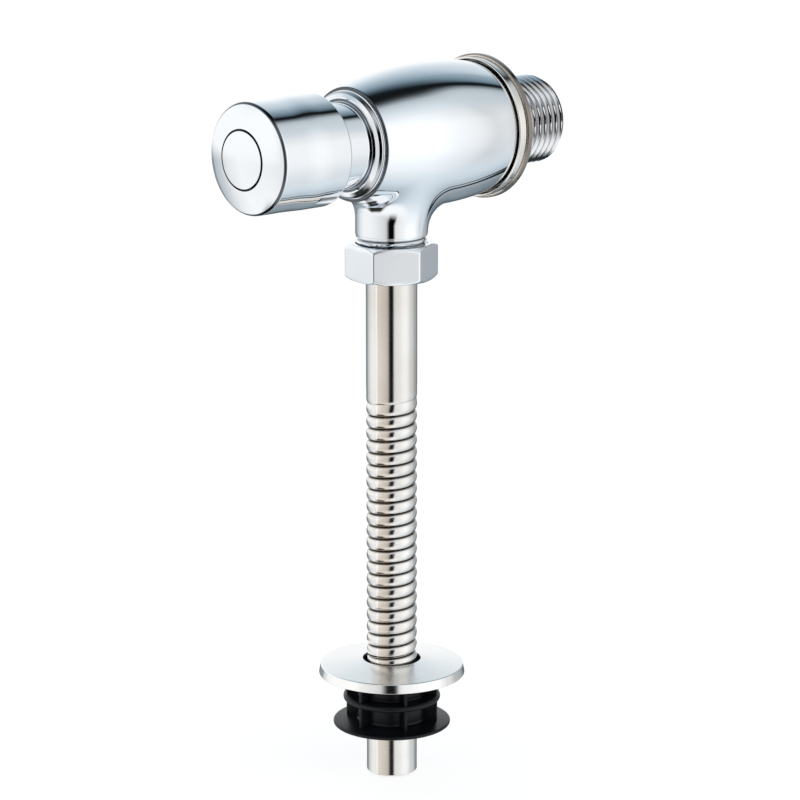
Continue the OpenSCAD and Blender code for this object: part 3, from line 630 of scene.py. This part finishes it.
# Cuts a helical groove into a turned blank along Z. It makes the corrugation of the flush pipe and
# both pipe threads. Sizes are in millimetres.
def makeHelixTree():
    sizes = ("Centre Y", "Start", "Pitch", "Turns", "Fade In", "Fade Out", "Depth", "Round", "Sharp",
             "Gather", "Outer From", "Bore Share")
    inputs = {"Blank": "Geometry", **{name: "Float" for name in sizes}, "Finish": "Material"}
    tree, given, made = newGroup("Geometry", "helicalGroove", inputs, {"Grooved": "Geometry"})
    position = addNode(tree, "GeometryNodeInputPosition").outputs[0]
    x, y, z = addNode(tree, "ShaderNodeSeparateXYZ", {0: position}).outputs
    y = minus(tree, y, given["Centre Y"])
    radius = calc(tree, "SQRT", plus(tree, times(tree, x, x), times(tree, y, y)))
    turn = calc(tree, "DIVIDE", minus(tree, z, given["Start"]), given["Pitch"])
    fromEnd = minus(tree, given["Turns"], turn)
    fadeIn = smoothStep(tree, calc(tree, "DIVIDE", turn, given["Fade In"]), 0.0, 1.0)
    fadeOut = smoothStep(tree, calc(tree, "DIVIDE", fromEnd, given["Fade Out"]), 0.0, 1.0)
    fade = times(tree, fadeIn, fadeOut)
    phase = plus(tree, times(tree, turn, 2 * math.pi), calc(tree, "ARCTAN2", x, y))
    # rows move along Z towards the groove, so that its edge stays sharp
    gather = times(tree, given["Gather"], calc(tree, "SINE", phase))
    lift = times(tree, gather, given["Pitch"], -1 / (2 * math.pi))
    cosine = calc(tree, "MAXIMUM", calc(tree, "COSINE", phase), -1.0)
    off = calc(tree, "ARCCOSINE", calc(tree, "MINIMUM", cosine, 1.0))
    away = minus(tree, off, calc(tree, "ABSOLUTE", gather))
    near = calc(tree, "MAXIMUM", minus(tree, 1.0, calc(tree, "DIVIDE", away, math.pi)), 0.0)
    # from a groove to the top of a rib: a straight flank or a round one
    climb = minus(tree, 1.0, calc(tree, "POWER", near, given["Round"]))
    climb = calc(tree, "POWER", climb, given["Sharp"])
    depth = times(tree, minus(tree, 1.0, climb), given["Depth"])
    outer = calc(tree, "GREATER_THAN", radius, given["Outer From"])
    share = calc(tree, "MAXIMUM", outer, given["Bore Share"])
    inHelix = times(tree, smoothStep(tree, turn, 0.0, 0.5), smoothStep(tree, fromEnd, 0.0, 0.5))
    pull = times(tree, depth, fade, share, -1.0)
    scale = calc(tree, "DIVIDE", pull, calc(tree, "MAXIMUM", radius, 0.001))
    offset = addNode(tree, "ShaderNodeCombineXYZ", {
        0: times(tree, x, scale), 1: times(tree, y, scale), 2: times(tree, lift, inHelix, share)})
    moved = addNode(tree, "GeometryNodeSetPosition", {
        "Geometry": given["Blank"], "Offset": offset.outputs[0]})
    plug(tree, made["Grooved"], withFinish(tree, moved.outputs[0], given["Finish"]))
    return tree


# Sets copies of one piece in a ring round Z and joins them to a hub
def makeRingTree():
    inputs = {
        "Hub": "Geometry", "Piece": "Object", "Count": "Int", "First Angle": "Float",
        "Finish": "Material"}
    tree, given, made = newGroup("Geometry", "ringOfCopies", inputs, {"Joined": "Geometry"})
    line = addNode(tree, "GeometryNodeMeshLine", {"Count": given["Count"], "Offset": (0, 0, 0)})
    index = addNode(tree, "GeometryNodeInputIndex").outputs[0]
    step = calc(tree, "DIVIDE", 2 * math.pi, given["Count"])
    angle = plus(tree, times(tree, index, step), given["First Angle"])
    turnTo = addNode(tree, "ShaderNodeCombineXYZ", {2: angle}).outputs[0]
    piece = addNode(tree, "GeometryNodeObjectInfo", {"Object": given["Piece"]}).outputs["Geometry"]
    copies = addNode(tree, "GeometryNodeInstanceOnPoints", {
        "Points": line.outputs[0], "Instance": piece, "Rotation": turnTo})
    whole = addNode(tree, "GeometryNodeRealizeInstances", {0: copies.outputs[0]})
    union = addNode(tree, "GeometryNodeMeshBoolean", operation="UNION", solver="EXACT")
    for part in (given["Hub"], whole.outputs[0]):
        tree.links.new(part, union.inputs["Mesh 2"])
    plug(tree, made["Joined"], withFinish(tree, union.outputs[0], given["Finish"]))
    return tree


def runTree(piece, tree, values):
    modifier = piece.modifiers.new(tree.name, "NODES")
    modifier.node_group = tree
    for item in tree.interface.items_tree:
        if item.in_out == "INPUT" and item.name in values:
            modifier[item.identifier] = values[item.name]
    makePlain(piece)


helicalGroove = makeHelixTree()
ringOfCopies = makeRingTree()

# The cast body: a barrel with one arc for its side, blended into the outlet's boss
casting = {
    "frontDrop": 3.65, "backDrop": 1.6, "edge": 0.35, "bossRadius": 8.45, "shoulder": -22.0,
    "blendReach": (3.0, 6.0, 5.0), "blendDrop": (3.0, 5.3, 5.0), "blendPull": 0.38, "blendGap": 0.1,
    "straight": 0.4, "straightRings": (0.1, 0.3, 0.5, 0.7, 0.9, 1.0),
    "sealBore": 11.6, "sealDepth": 1.2, "bore": 10.4, "chamberEnd": -23.0, "seatBore": 5.0,
    "seatFrom": -19.2, "lipWidth": 1.2, "seatBack": -20.0, "waterBore": 9.2, "socketBore": 11.95,
    "socketEnd": -10.5, "pipeSocket": 6.15, "pipeStop": -20.9, "outletBore": 5.0, "outletTop": -5.0,
    "around": 240, "rows": 96, "patchHalf": 75, "patchBack": -10.0, "patchRings": 22, "blendRings": 20,
    # the thread above the nut, which starts below the boss's end and stops below its shoulder
    "threadRadius": 8.33, "threadStart": 0.4, "threadStop": 0.2, "threadRows": 56, "shoulderRound": 0.2,
    "shoulderFall": 0.12, "threadFrom": 0.15, "lead": 0.6, "leadDepth": 0.5, "groove": {
        "Pitch": 1.337, "Depth": 0.62, "Fade In": 0.5, "Fade Out": 0.5, "Round": 1.15, "Sharp": 1.0,
        "Gather": 0.4, "Outer From": 7.0, "Bore Share": 0.0},
}


def makeBody(size):
    front, back = low("valve_body").y, high("valve_body").y
    greatest, end = high("valve_body").x, low("valve_body").z
    edge, boss, shoulder = size["edge"], size["bossRadius"], size["shoulder"]
    frontShare, backShare = math.sqrt(size["frontDrop"]), math.sqrt(size["backDrop"])
    fromFront = (back - front) * (frontShare / (frontShare + backShare))
    peak = front + fromFront
    arc = (fromFront ** 2 + size["frontDrop"] ** 2) / (2 * size["frontDrop"])

    def barrelRadius(y):
        return greatest - arc + math.sqrt(arc ** 2 - (y - peak) ** 2)

    def barrelPoint(y, angle):
        radius = barrelRadius(y)
        return Vector((radius * math.cos(angle), y, radius * math.sin(angle)))

    def bossPoint(a, radius, z):
        return Vector((radius * math.sin(a), outletY + radius * math.cos(a), z))

    # how far the blend reaches over the barrel, and how low it ends on the boss, round its axis
    def roundBoss(a, inFront, beside, behind):
        middle = (inFront + behind) / 2
        return middle + (behind - inFront) / 2 * math.cos(a) + (beside - middle) * math.sin(a) ** 2

    # each section leaves the barrel along its surface and ends straight down the boss
    def blendSection(a):
        outward = Vector((math.sin(a), math.cos(a), 0))
        reach = boss + roundBoss(a, *size["blendReach"])
        x, y = outward.x * reach, outletY + outward.y * reach
        touch = Vector((x, y, -math.sqrt(barrelRadius(y) ** 2 - x * x)))
        hub = Vector((x, 0, touch.z)) * ((greatest - arc) / math.hypot(x, touch.z))
        hub.y = peak
        normal = (touch - hub).normalized()
        leave = (outward.dot(normal) * normal - outward).normalized()
        lowest = -barrelRadius(y) - roundBoss(a, *size["blendDrop"])
        footZ = max(shoulder + size["blendGap"], lowest)
        foot = Vector((outward.x * boss, outletY + outward.y * boss, footZ))
        handle = (foot - touch).length * size["blendPull"]
        return touch, touch + leave * handle, foot + Vector((0, 0, handle)), foot

    # closed outline of the barrel and its bores, with the side's arc as its first rows
    sideRows = np.linspace(front + 2 * edge, back - 2 * edge, size["rows"])
    side = [(barrelRadius(y), y) for y in sideRows]
    lip = size["seatBore"] + size["lipWidth"]
    sealEnd = front + size["sealDepth"]
    corners = [
        (barrelRadius(back), back, edge), (size["socketBore"], back, 0.3),
        (size["socketBore"], size["socketEnd"], 0), (size["waterBore"], size["socketEnd"], 0),
        (size["waterBore"], size["seatBack"], 0), (lip, size["seatBack"], 0),
        (lip, size["seatFrom"], 0.15), (size["seatBore"], size["seatFrom"], 0.15),
        (size["seatBore"], size["chamberEnd"], 0), (size["bore"], size["chamberEnd"], 0),
        (size["bore"], sealEnd, 0), (size["sealBore"], sealEnd, 0),
        (size["sealBore"], front, 0.1), (barrelRadius(front), front, edge)]
    ends = roundedOutline([(*side[-1], 0)] + corners + [(*side[0], 0)], closed=False)
    outline = side + [tuple(p) for p in ends[1:-1]]

    around, rows = size["around"], len(side)
    verts, faces = [], []
    angles = [2 * math.pi * m / around for m in range(around)]
    for radius, along in outline:
        verts += [Vector((radius * math.cos(t), along, radius * math.sin(t))) for t in angles]

    # the window under the barrel, where the patch round the blend goes
    middle, half = around * 3 // 4, round(size["patchHalf"] / 360 * around)
    columns = range(middle - half, middle + half + 1)
    lastRow = max(j for j in range(rows) if side[j][1] < size["patchBack"])
    for j in range(len(outline)):
        for m in range(around):
            if j < lastRow and columns[0] <= m < columns[-1]:
                continue
            k, n = (j + 1) % len(outline), (m + 1) % around
            faces.append((j * around + m, k * around + m, k * around + n, j * around + n))

    # its rim, walked once round; every rim vertex has its own angle round the boss
    rim = [(0, m) for m in columns[:-1]] + [(j, columns[-1]) for j in range(lastRow)]
    rim += [(lastRow, m) for m in reversed(columns[1:])]
    rim += [(j, columns[0]) for j in range(lastRow, 0, -1)]
    ring = [j * around + m for j, m in rim]

    def addRing(points):
        nonlocal ring
        new = list(range(len(verts), len(verts) + len(points)))
        verts.extend(points)
        faces.extend(ringFaces(ring, new))
        ring = new

    plan = [math.atan2(verts[i].x, verts[i].y - outletY) for i in ring]
    sections = [blendSection(a) for a in plan]
    rimAt = [(side[j][1], angles[m]) for j, m in rim]
    touchAt = [(touch.y, math.atan2(touch.z, touch.x) % (2 * math.pi)) for touch, *rest in sections]
    for k in range(1, size["patchRings"] + 1):
        t = k / size["patchRings"]
        addRing([barrelPoint(y0 + (y1 - y0) * t, a0 + (a1 - a0) * t)
                 for (y0, a0), (y1, a1) in zip(rimAt, touchAt)])
    for k in range(1, size["blendRings"] + 1):
        t = k / size["blendRings"]
        first, second, third, last = (1 - t) ** 3, 3 * t * (1 - t) ** 2, 3 * t * t * (1 - t), t ** 3
        addRing([one * first + two * second + three * third + four * last
                 for one, two, three, four in sections])

    # straight down the boss, over its shoulder and down the thread
    feet = [verts[i].z for i in ring]
    straight = shoulder + size["straight"]
    for t in size["straightRings"]:
        addRing([bossPoint(a, boss, z + (straight - z) * t) for a, z in zip(plan, feet)])
    thread = size["threadRadius"]
    lower = roundedOutline([
        (boss, straight, 0), (boss, shoulder, size["shoulderRound"]),
        (thread, shoulder - size["shoulderFall"], 0)], closed=False)[1:]
    threadRows = np.linspace(shoulder - size["threadFrom"], end + size["lead"], size["threadRows"])
    for radius, z in [*lower, *((thread, z) for z in threadRows), (thread - size["leadDepth"], end)]:
        addRing([bossPoint(a, radius, z) for a in plan])
    faces.extend(ringFaces(ring, [len(verts)]))
    verts.append(Vector((0, outletY, end)))

    body = newPiece("bodyCasting", verts, faces)
    start = end - size["threadStart"]
    turns = (shoulder - size["threadStop"] - start) / size["groove"]["Pitch"]
    runTree(body, helicalGroove, {
        **size["groove"], "Centre Y": outletY, "Start": start, "Turns": turns,
        "Finish": materials["body_chrome"]})
    below = end - 1
    waterway = turned("waterway", [
        (0.0, below), (size["pipeSocket"], below), (size["pipeSocket"], size["pipeStop"]),
        (size["outletBore"], size["pipeStop"]), (size["outletBore"], size["outletTop"]),
        (0.0, size["outletTop"])], around=144, closed=False)
    waterway.data.transform(alongOutlet)
    for piece in (body, waterway):
        faceOutwards(piece.data)
    cutWith(body, waterway)
    finishPiece(body, "valve_body")


makeBody(casting)

# The tube that screws into the wall, with its G 1/2 thread
nipple = {
    "thread": 10.4775, "bore": 7.5, "relief": 9.58, "reliefEnd": 0.1, "socket": 11.9, "mouth": 9.2,
    "mouthDepth": 5.0, "threadFrom": 0.5, "lead": 0.7, "leadDepth": 0.8, "tipLift": 0.12, "rows": 150,
    "pastEnd": 1.5, "groove": {
        "Pitch": 1.814, "Depth": 1.16, "Fade In": 0.5, "Fade Out": 0.5, "Round": 1.2, "Sharp": 0.9,
        "Gather": 0.45, "Centre Y": 0.0, "Bore Share": 0.0},
}


def makeNipple(size):
    front, end = low("inlet_nipple").y, high("inlet_nipple").y - size["tipLift"]
    back = high("valve_body").y
    inner = front + size["mouthDepth"]
    rows = np.linspace(size["threadFrom"], end - size["lead"], size["rows"])
    outline = roundedOutline([
        (size["bore"], end, 0.2), (size["bore"], inner, 0), (size["mouth"], inner, 0),
        (size["mouth"], front, 0.1), (size["socket"], front, 0.3), (size["socket"], back, 0.2),
        (size["relief"], back, 0), (size["relief"], size["reliefEnd"], 0),
        *((size["thread"], y, 0) for y in rows), (size["thread"] - size["leadDepth"], end, 0.1)])
    tube = turned("inletNipple", outline)
    runTree(tube, helicalGroove, {
        **size["groove"], "Start": size["reliefEnd"], "Outer From": size["relief"] + justOutside,
        "Turns": (end + size["pastEnd"]) / size["groove"]["Pitch"],
        "Finish": materials["thread_chrome"]})
    finishPiece(tube, "inlet_nipple", alongInlet)


makeNipple(nipple)

# The stamped rosette on the wall: a raised lip, a fine groove and a low step
rosette = {
    "hole": 10.81, "lipInside": 15.95, "lipWall": 0.55, "stepDepth": 1.15, "sheet": 0.8,
    "groove": 0.14, "rimRound": 0.22,
}


def makeRosette(size):
    depth, rim = -low("wall_flange").y, high("wall_flange").x
    lipIn = size["lipInside"]
    lipOut = lipIn + size["lipWall"]
    step, groove = -size["stepDepth"], size["groove"]
    bend = size["lipWall"] / 2 - 0.01
    outline = roundedOutline([
        (size["hole"], 0, 0), (size["hole"], -size["sheet"], 0.2), (lipIn, -size["sheet"], 0.3),
        (lipIn, -depth, bend), (lipOut, -depth, bend), (lipOut, step + groove, 0.03),
        (lipOut + groove, step + groove, 0.03), (lipOut + groove, step, 0.05),
        (rim, step, size["rimRound"]), (rim, 0, 0.05)])
    finishPiece(turned("wallRosette", outline, around=256), "wall_flange", alongInlet)


makeRosette(rosette)

# Neck, collar ring and cylinder in one turned piece
neck = {
    "radius": 10.0, "pocket": 8.4, "chamfer": 0.5, "collarThickness": 1.9, "faceEdge": 11.0,
    "coneEdge": 11.75, "coneDrop": 0.48, "bevelEdge": 12.25, "groove": 0.14, "thread": 10.35,
    "threadLength": 5.5, "cylinderOut": 9.8, "cylinder": 8.0, "webFront": -50.3, "webBack": -46.1,
    "stemBore": 3.05, "sealBore": 4.8, "glandBore": 5.4, "gland": 1.0, "seal": 2.9,
}


def makeNeck(size):
    front, back = low("bonnet").y, high("bonnet").y
    collar = high("bonnet").x
    barrelFront = low("valve_body").y
    face = barrelFront - size["collarThickness"]
    cone = face + size["coneDrop"]
    band = size["bevelEdge"]
    bevel = cone + band - size["coneEdge"]
    groove, grooveY = size["groove"], (bevel + barrelFront) / 2
    threadEnd = barrelFront + size["threadLength"]
    webFront, webBack = size["webFront"], size["webBack"]
    sealEnd, glandEnd = webFront + size["seal"], webFront + size["gland"]
    outline = roundedOutline([
        (size["pocket"], front, 0.15), (size["radius"], front, size["chamfer"]),
        (size["radius"], face, 0.05), (size["faceEdge"], face, 0.05), (size["coneEdge"], cone, 0.05),
        (band, bevel, 0.08), (band, grooveY - groove, 0.04), (band - groove, grooveY, 0.03),
        (collar, grooveY + groove, 0.05), (collar, barrelFront, 0.12), (size["thread"], barrelFront, 0),
        (size["thread"], threadEnd, 0.3), (size["cylinderOut"], threadEnd, 0),
        (size["cylinderOut"], back, 0.3), (size["cylinder"], back, 0.2), (size["cylinder"], webBack, 0),
        (size["stemBore"], webBack, 0), (size["stemBore"], sealEnd, 0), (size["sealBore"], sealEnd, 0),
        (size["sealBore"], glandEnd, 0), (size["glandBore"], glandEnd, 0),
        (size["glandBore"], webFront, 0), (size["pocket"], webFront, 0)])
    finishPiece(turned("bonnetNeck", outline, around=224), "bonnet", alongInlet)


makeNeck(neck)

# The button, and the bare disc in its domed front
button = {
    "dome": 32.3, "edge": 0.9, "waist": 0.2, "stepAt": 0.52, "stepHalf": 2.4, "stepRound": 60,
    "rear": 0.8, "wall": 1.5, "frontThickness": 2.6, "boss": 4.6, "bossLength": 4.4, "disc": 6.5,
    "discGap": 0.4, "discDepth": 1.5, "discRound": 0.15, "screwHead": 3.0, "screwSeat": 1.7,
    "screwHole": 1.65, "bridge": 1.2, "stemBore": 3.05,
    # how close the dome's rows come to the gap and the edge, and the disc's to its centre and rim
    "domeRows": 22, "nearGap": 0.25, "nearEdge": 1.4, "discRows": 18, "nearCentre": 0.4, "nearRim": 0.35,
}


def makeButton(size):
    rearY, radius = high("push_cap").y, high("push_cap").x
    frontRadius = radius - size["waist"]
    edgeSag = math.sqrt(size["dome"] ** 2 - frontRadius ** 2)
    edgeY = low("index_disc").y + size["dome"] - edgeSag

    def domeY(r):
        return edgeY + edgeSag - math.sqrt(size["dome"] ** 2 - r ** 2)

    disc = size["disc"]
    recess = domeY(disc) + size["discDepth"]
    seat = recess + size["screwSeat"]
    bridge = seat + size["bridge"]
    floor = edgeY + size["frontThickness"]
    bossEnd = floor + size["bossLength"]
    bore = radius - size["wall"]
    stepY = edgeY + size["stepAt"] * (rearY - edgeY)
    opening = disc + size["discGap"]
    domeRows = np.linspace(opening + size["nearGap"], frontRadius - size["nearEdge"], size["domeRows"])
    outline = roundedOutline([
        (size["screwHole"], seat, 0), (size["screwHead"], seat, 0), (size["screwHead"], recess, 0),
        (opening, recess, 0), (opening, domeY(opening), 0.1), *((r, domeY(r), 0) for r in domeRows),
        (frontRadius, edgeY, size["edge"]), (frontRadius, stepY - size["stepHalf"], size["stepRound"]),
        (radius, stepY + size["stepHalf"], size["stepRound"]), (radius, rearY, size["rear"]),
        (bore, rearY, 0.3), (bore, floor, 0.5), (size["boss"], floor, 0.5), (size["boss"], bossEnd, 0.3),
        (size["stemBore"], bossEnd, 0.1), (size["stemBore"], bridge, 0), (size["screwHole"], bridge, 0)])
    finishPiece(turned("buttonCap", outline, around=256), "push_cap", alongInlet)
    discRows = np.linspace(size["nearCentre"], disc - size["nearRim"], size["discRows"])
    outline = roundedOutline([
        (0.0, domeY(0), 0), *((r, domeY(r), 0) for r in discRows),
        (disc, domeY(disc), size["discRound"]), (disc, recess, 0.05), (0.0, recess, 0)], closed=False)
    finishPiece(turned("indexDisc", outline, closed=False), "index_disc", alongInlet)


makeButton(button)

# The hexagon nut: flats, cones and end faces meet in rounded edges. Columns gather at the corners
# and rows where two surfaces meet: degrees from a corner, and shares of the way between two edges.
hexNut = {
    "flats": 19.0, "chamfer": 1.4, "coneSlope": 30, "edge": 0.26, "turn": -6.7, "core": 8.9,
    "thread": 8.38, "floor": 1.3, "hole": 6.15, "halvings": 34,
    "fromCorner": (0, 0.25, 0.5, 0.8, 1.2, 1.8, 2.8, 4.2, 6.5, 9, 12, 15, 18, 21, 23, 25, 27, 28.5, 30),
    "between": (0, 0.04, 0.1, 0.2, 0.35, 0.5, 0.65, 0.8, 0.9, 0.96),
}


def makeNut(size):
    bottom, top = low("outlet_nut").z, high("outlet_nut").z
    middle, core, apothem = (bottom + top) / 2, size["core"], size["flats"] / 2
    slope = math.tan(math.radians(size["coneSlope"]))
    coneRadius = size["flats"] / math.sqrt(3) - size["chamfer"]
    side = [*size["fromCorner"], *(60 - offset for offset in reversed(size["fromCorner"][1:-1]))]
    degrees = np.array([60 * k + offset for k in range(6) for offset in side])
    flatAngle = np.radians((degrees % 60) - 30)
    angles = np.radians(degrees + size["turn"])

    # rays leave a ring inside the nut; on each, samples gather where cone, flat and end face meet
    flat = apothem / np.cos(flatAngle)
    shoulder = (top - middle) - np.maximum(flat - coneRadius, 0) * slope
    overEnd = np.arctan2(top - middle, np.minimum(flat, coneRadius) - core)
    overCone = np.arctan2(shoulder, flat - core)
    level = np.zeros_like(flat)
    keys = [level - math.pi / 2, -overEnd, -overCone, level, overCone, overEnd, level + math.pi / 2]
    spans = list(zip(keys, keys[1:]))
    b = np.array([one + (two - one) * t for one, two in spans for t in size["between"]] + [keys[-1]])
    a = np.broadcast_to(angles, b.shape)

    # how far outside the rounded nut each ray is at this reach
    def outside(reach):
        r = core + reach * np.cos(b)
        z = middle + reach * np.sin(b)
        ends = [z - top, bottom - z]
        flats = [r * np.cos(a - math.radians(size["turn"] + 30 + 60 * k)) - apothem for k in range(6)]
        cones = [(rise + (r - coneRadius) * slope) / math.hypot(1, slope) for rise in ends]
        over = [np.maximum(wall + size["edge"], 0) for wall in ends + flats + cones]
        return np.sqrt(sum(o * o for o in over)) - size["edge"]

    near, far = np.zeros_like(b), np.full_like(b, top - bottom)
    for step in range(size["halvings"]):
        half = (near + far) / 2
        out = outside(half) > 0
        far = np.where(out, half, far)
        near = np.where(out, near, half)
    rows = [list(zip(core + n * np.cos(t), middle + n * np.sin(t))) for n, t in zip(near, b)]
    floor = bottom + size["floor"]
    inside = roundedOutline([
        (core, top, 0), (size["thread"], top, 0.15), (size["thread"], floor, 0),
        (size["hole"], floor, 0.1), (size["hole"], bottom, 0.15), (core, bottom, 0)], closed=False)
    count = len(angles)
    rows += [[tuple(p)] * count for p in inside[1:-1]]
    verts = [(radius * math.cos(t), radius * math.sin(t), along)
             for row in rows for t, (radius, along) in zip(angles, row)]
    rings = [range(k * count, (k + 1) * count) for k in range(len(rows))]
    faces = [face for one, two in zip(rings, rings[1:] + rings[:1]) for face in ringFaces(one, two)]
    finishPiece(newPiece("outletNut", verts, faces), "outlet_nut", alongOutlet)


makeNut(hexNut)

# The stainless flush pipe. One groove rolled round it leaves a row of cushion-shaped ribs.
pipe = {
    "wall": 1.0, "crestDrop": 0.03, "tailLength": 28.0, "turns": 22.5, "phase": -0.70, "edge": 0.12,
    "rowsPerTurn": 24, "boreEvery": 4, "beside": 0.6, "around": 112, "groove": {
        "Pitch": 2.96, "Depth": 0.85, "Fade In": 0.8, "Fade Out": 2.0, "Round": 1.85, "Sharp": 0.55,
        "Gather": 0.62, "Centre Y": 0.0, "Bore Share": 0.6},
}


def makePipe(size):
    bottom, top = low("flush_pipe").z, high("flush_pipe").z
    radius, turns = high("flush_pipe").x, size["turns"]
    bore, crest = radius - size["wall"], radius - size["crestDrop"]
    ribLow = bottom + size["tailLength"]
    ribHigh = ribLow + turns * size["groove"]["Pitch"]
    rows = np.linspace(ribLow, ribHigh, round(turns * size["rowsPerTurn"]))
    outline = roundedOutline([
        (bore, bottom, 0.1), (radius, bottom, size["edge"]), (radius, ribLow - size["beside"], 0),
        *((crest, z, 0) for z in rows), (radius, ribHigh + size["beside"], 0),
        (radius, top, size["edge"]), (bore, top, 0.1), *((bore, z, 0) for z in rows[::-size["boreEvery"]])])
    tube = turned("flushPipe", outline, size["around"])
    runTree(tube, helicalGroove, {
        **size["groove"], "Start": ribLow + size["phase"], "Turns": turns,
        "Outer From": bore + justOutside, "Finish": materials["pipe_steel"]})
    finishPiece(tube, "flush_pipe", alongOutlet)


makePipe(pipe)

# The loose cover plate
plate = {"hole": 6.9, "sheet": 0.6, "topRadius": 16.96, "rim": 2.2, "bevel": 0.35}


def makePlate(size):
    bottom, top = low("escutcheon").z, high("escutcheon").z
    rim, hole, flat = high("escutcheon").x, size["hole"], size["topRadius"]
    sheet, edgeZ = size["sheet"], bottom + size["rim"]
    outline = roundedOutline([
        (hole, top, 0.12), (flat, edgeZ, size["bevel"]), (rim, bottom, 0.12),
        (rim - sheet, bottom, 0.05), (flat - sheet, edgeZ - sheet, 0.2), (hole, top - sheet, 0.05)])
    finishPiece(turned("coverPlate", outline, around=256), "escutcheon", alongOutlet)


makePlate(plate)

# The rubber spud: a sleeve with rim, bead and flange, and fins set in a ring
spud = {
    "bore": 6.05, "sleeve": 8.2, "rim": 11.4, "rimThickness": 1.2, "bead": 11.6, "beadHeight": 1.6,
    "beadDrop": 7.3, "flangeThickness": 0.8, "flangeRoot": 1.4, "lip": 0.35, "fins": 6,
    "finThickness": 0.8, "finRadius": 11.1, "finRound": 0.22, "finShort": 0.5, "firstFin": 34,
    "root": 7.2,
}


def makeFin(size, bottom, top):
    long, tall, root = size["finRadius"] - size["root"], top - bottom - size["finShort"], size["root"]
    work = bmesh.new()
    bmesh.ops.create_cube(work, size=1)
    bmesh.ops.scale(work, verts=work.verts, vec=(long, size["finThickness"], tall))
    bmesh.ops.translate(work, verts=work.verts, vec=(root + long / 2, 0, (bottom + top) / 2))
    outer = [e for e in work.edges if all(v.co.x > root + 0.1 for v in e.verts)]
    bmesh.ops.bevel(work, geom=outer, offset=size["finRound"], segments=3, affect="EDGES", profile=0.5)
    mesh = bpy.data.meshes.new("fin")
    work.to_mesh(mesh)
    work.free()
    return addObject("fin", mesh)


def makeSpud(size):
    bottom, top = low("spud").z, high("spud").z
    flange, sleeve, bead, lip = high("spud").x, size["sleeve"], size["bead"], size["lip"]
    rimLow = top - size["rimThickness"]
    beadTop = top - size["beadDrop"]
    beadLow = beadTop - size["beadHeight"]
    beadRound = size["beadHeight"] / 2 - 0.02
    outline = roundedOutline([
        (size["bore"], top, 0.2), (size["rim"], top, lip), (size["rim"], rimLow, lip),
        (sleeve, rimLow, 0.4), (sleeve, beadTop, 0.3), (bead, beadTop, beadRound),
        (bead, beadLow, beadRound), (sleeve, beadLow, 0.3), (sleeve, bottom + size["flangeRoot"], 0.6),
        (flange, bottom + size["flangeThickness"], lip), (flange, bottom, lip),
        (size["bore"], bottom, 0.2)])
    hub = turned("rubberSpud", outline, around=160)
    fin = makeFin(size, bottom, top)
    runTree(hub, ringOfCopies, {
        "Piece": fin, "Count": size["fins"], "First Angle": math.radians(size["firstFin"]),
        "Finish": materials["spud_rubber"]})
    bpy.data.objects.remove(fin)
    finishPiece(hub, "spud", alongOutlet)


makeSpud(spud)


# The return spring: a copy of the frame's own mesh, with its finish, tied to its body
def makeSpring():
    spring = addObject("returnSpring", frame["nodes"]["return_spring"].data.copy())
    spring.data.transform(Matrix.Scale(1 / mm, 4))
    finishPiece(spring, "return_spring")
    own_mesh(spring)


makeSpring()

# The frame's own nodes get their finish. Those that nothing replaces, all inside, keep their shape.
for name, node in frame["nodes"].items():
    node.data.materials.clear()
    node.data.materials.append(materials[slotOf[name]])
print("inner pieces finished")

# A plain pale floor, in metres. Polished metal doesn't mirror it, so its edge never shows in it.
floorLook = {"width": 12.0, "below": 0.0005, "glow": 0.82, "shade": 0.35, "roughness": 0.9}


def makeFloor(look):
    z = cadBox[0].z - look["below"]
    half = look["width"] / 2
    corners = [(-half, -half, z), (half, -half, z), (half, half, z), (-half, half, z)]
    floor = newPiece("floor", corners, [(0, 1, 2, 3)])
    material, shader = newMaterial("paleFloor")
    shader.inputs["Base Color"].default_value = (look["shade"],) * 3 + (1,)
    shader.inputs["Roughness"].default_value = look["roughness"]
    shader.inputs["Emission Color"].default_value = (1, 1, 1, 1)
    shader.inputs["Emission Strength"].default_value = look["glow"]
    floor.data.materials.append(material)
    floor.visible_glossy = False


makeFloor(floorLook)
print("floor laid")
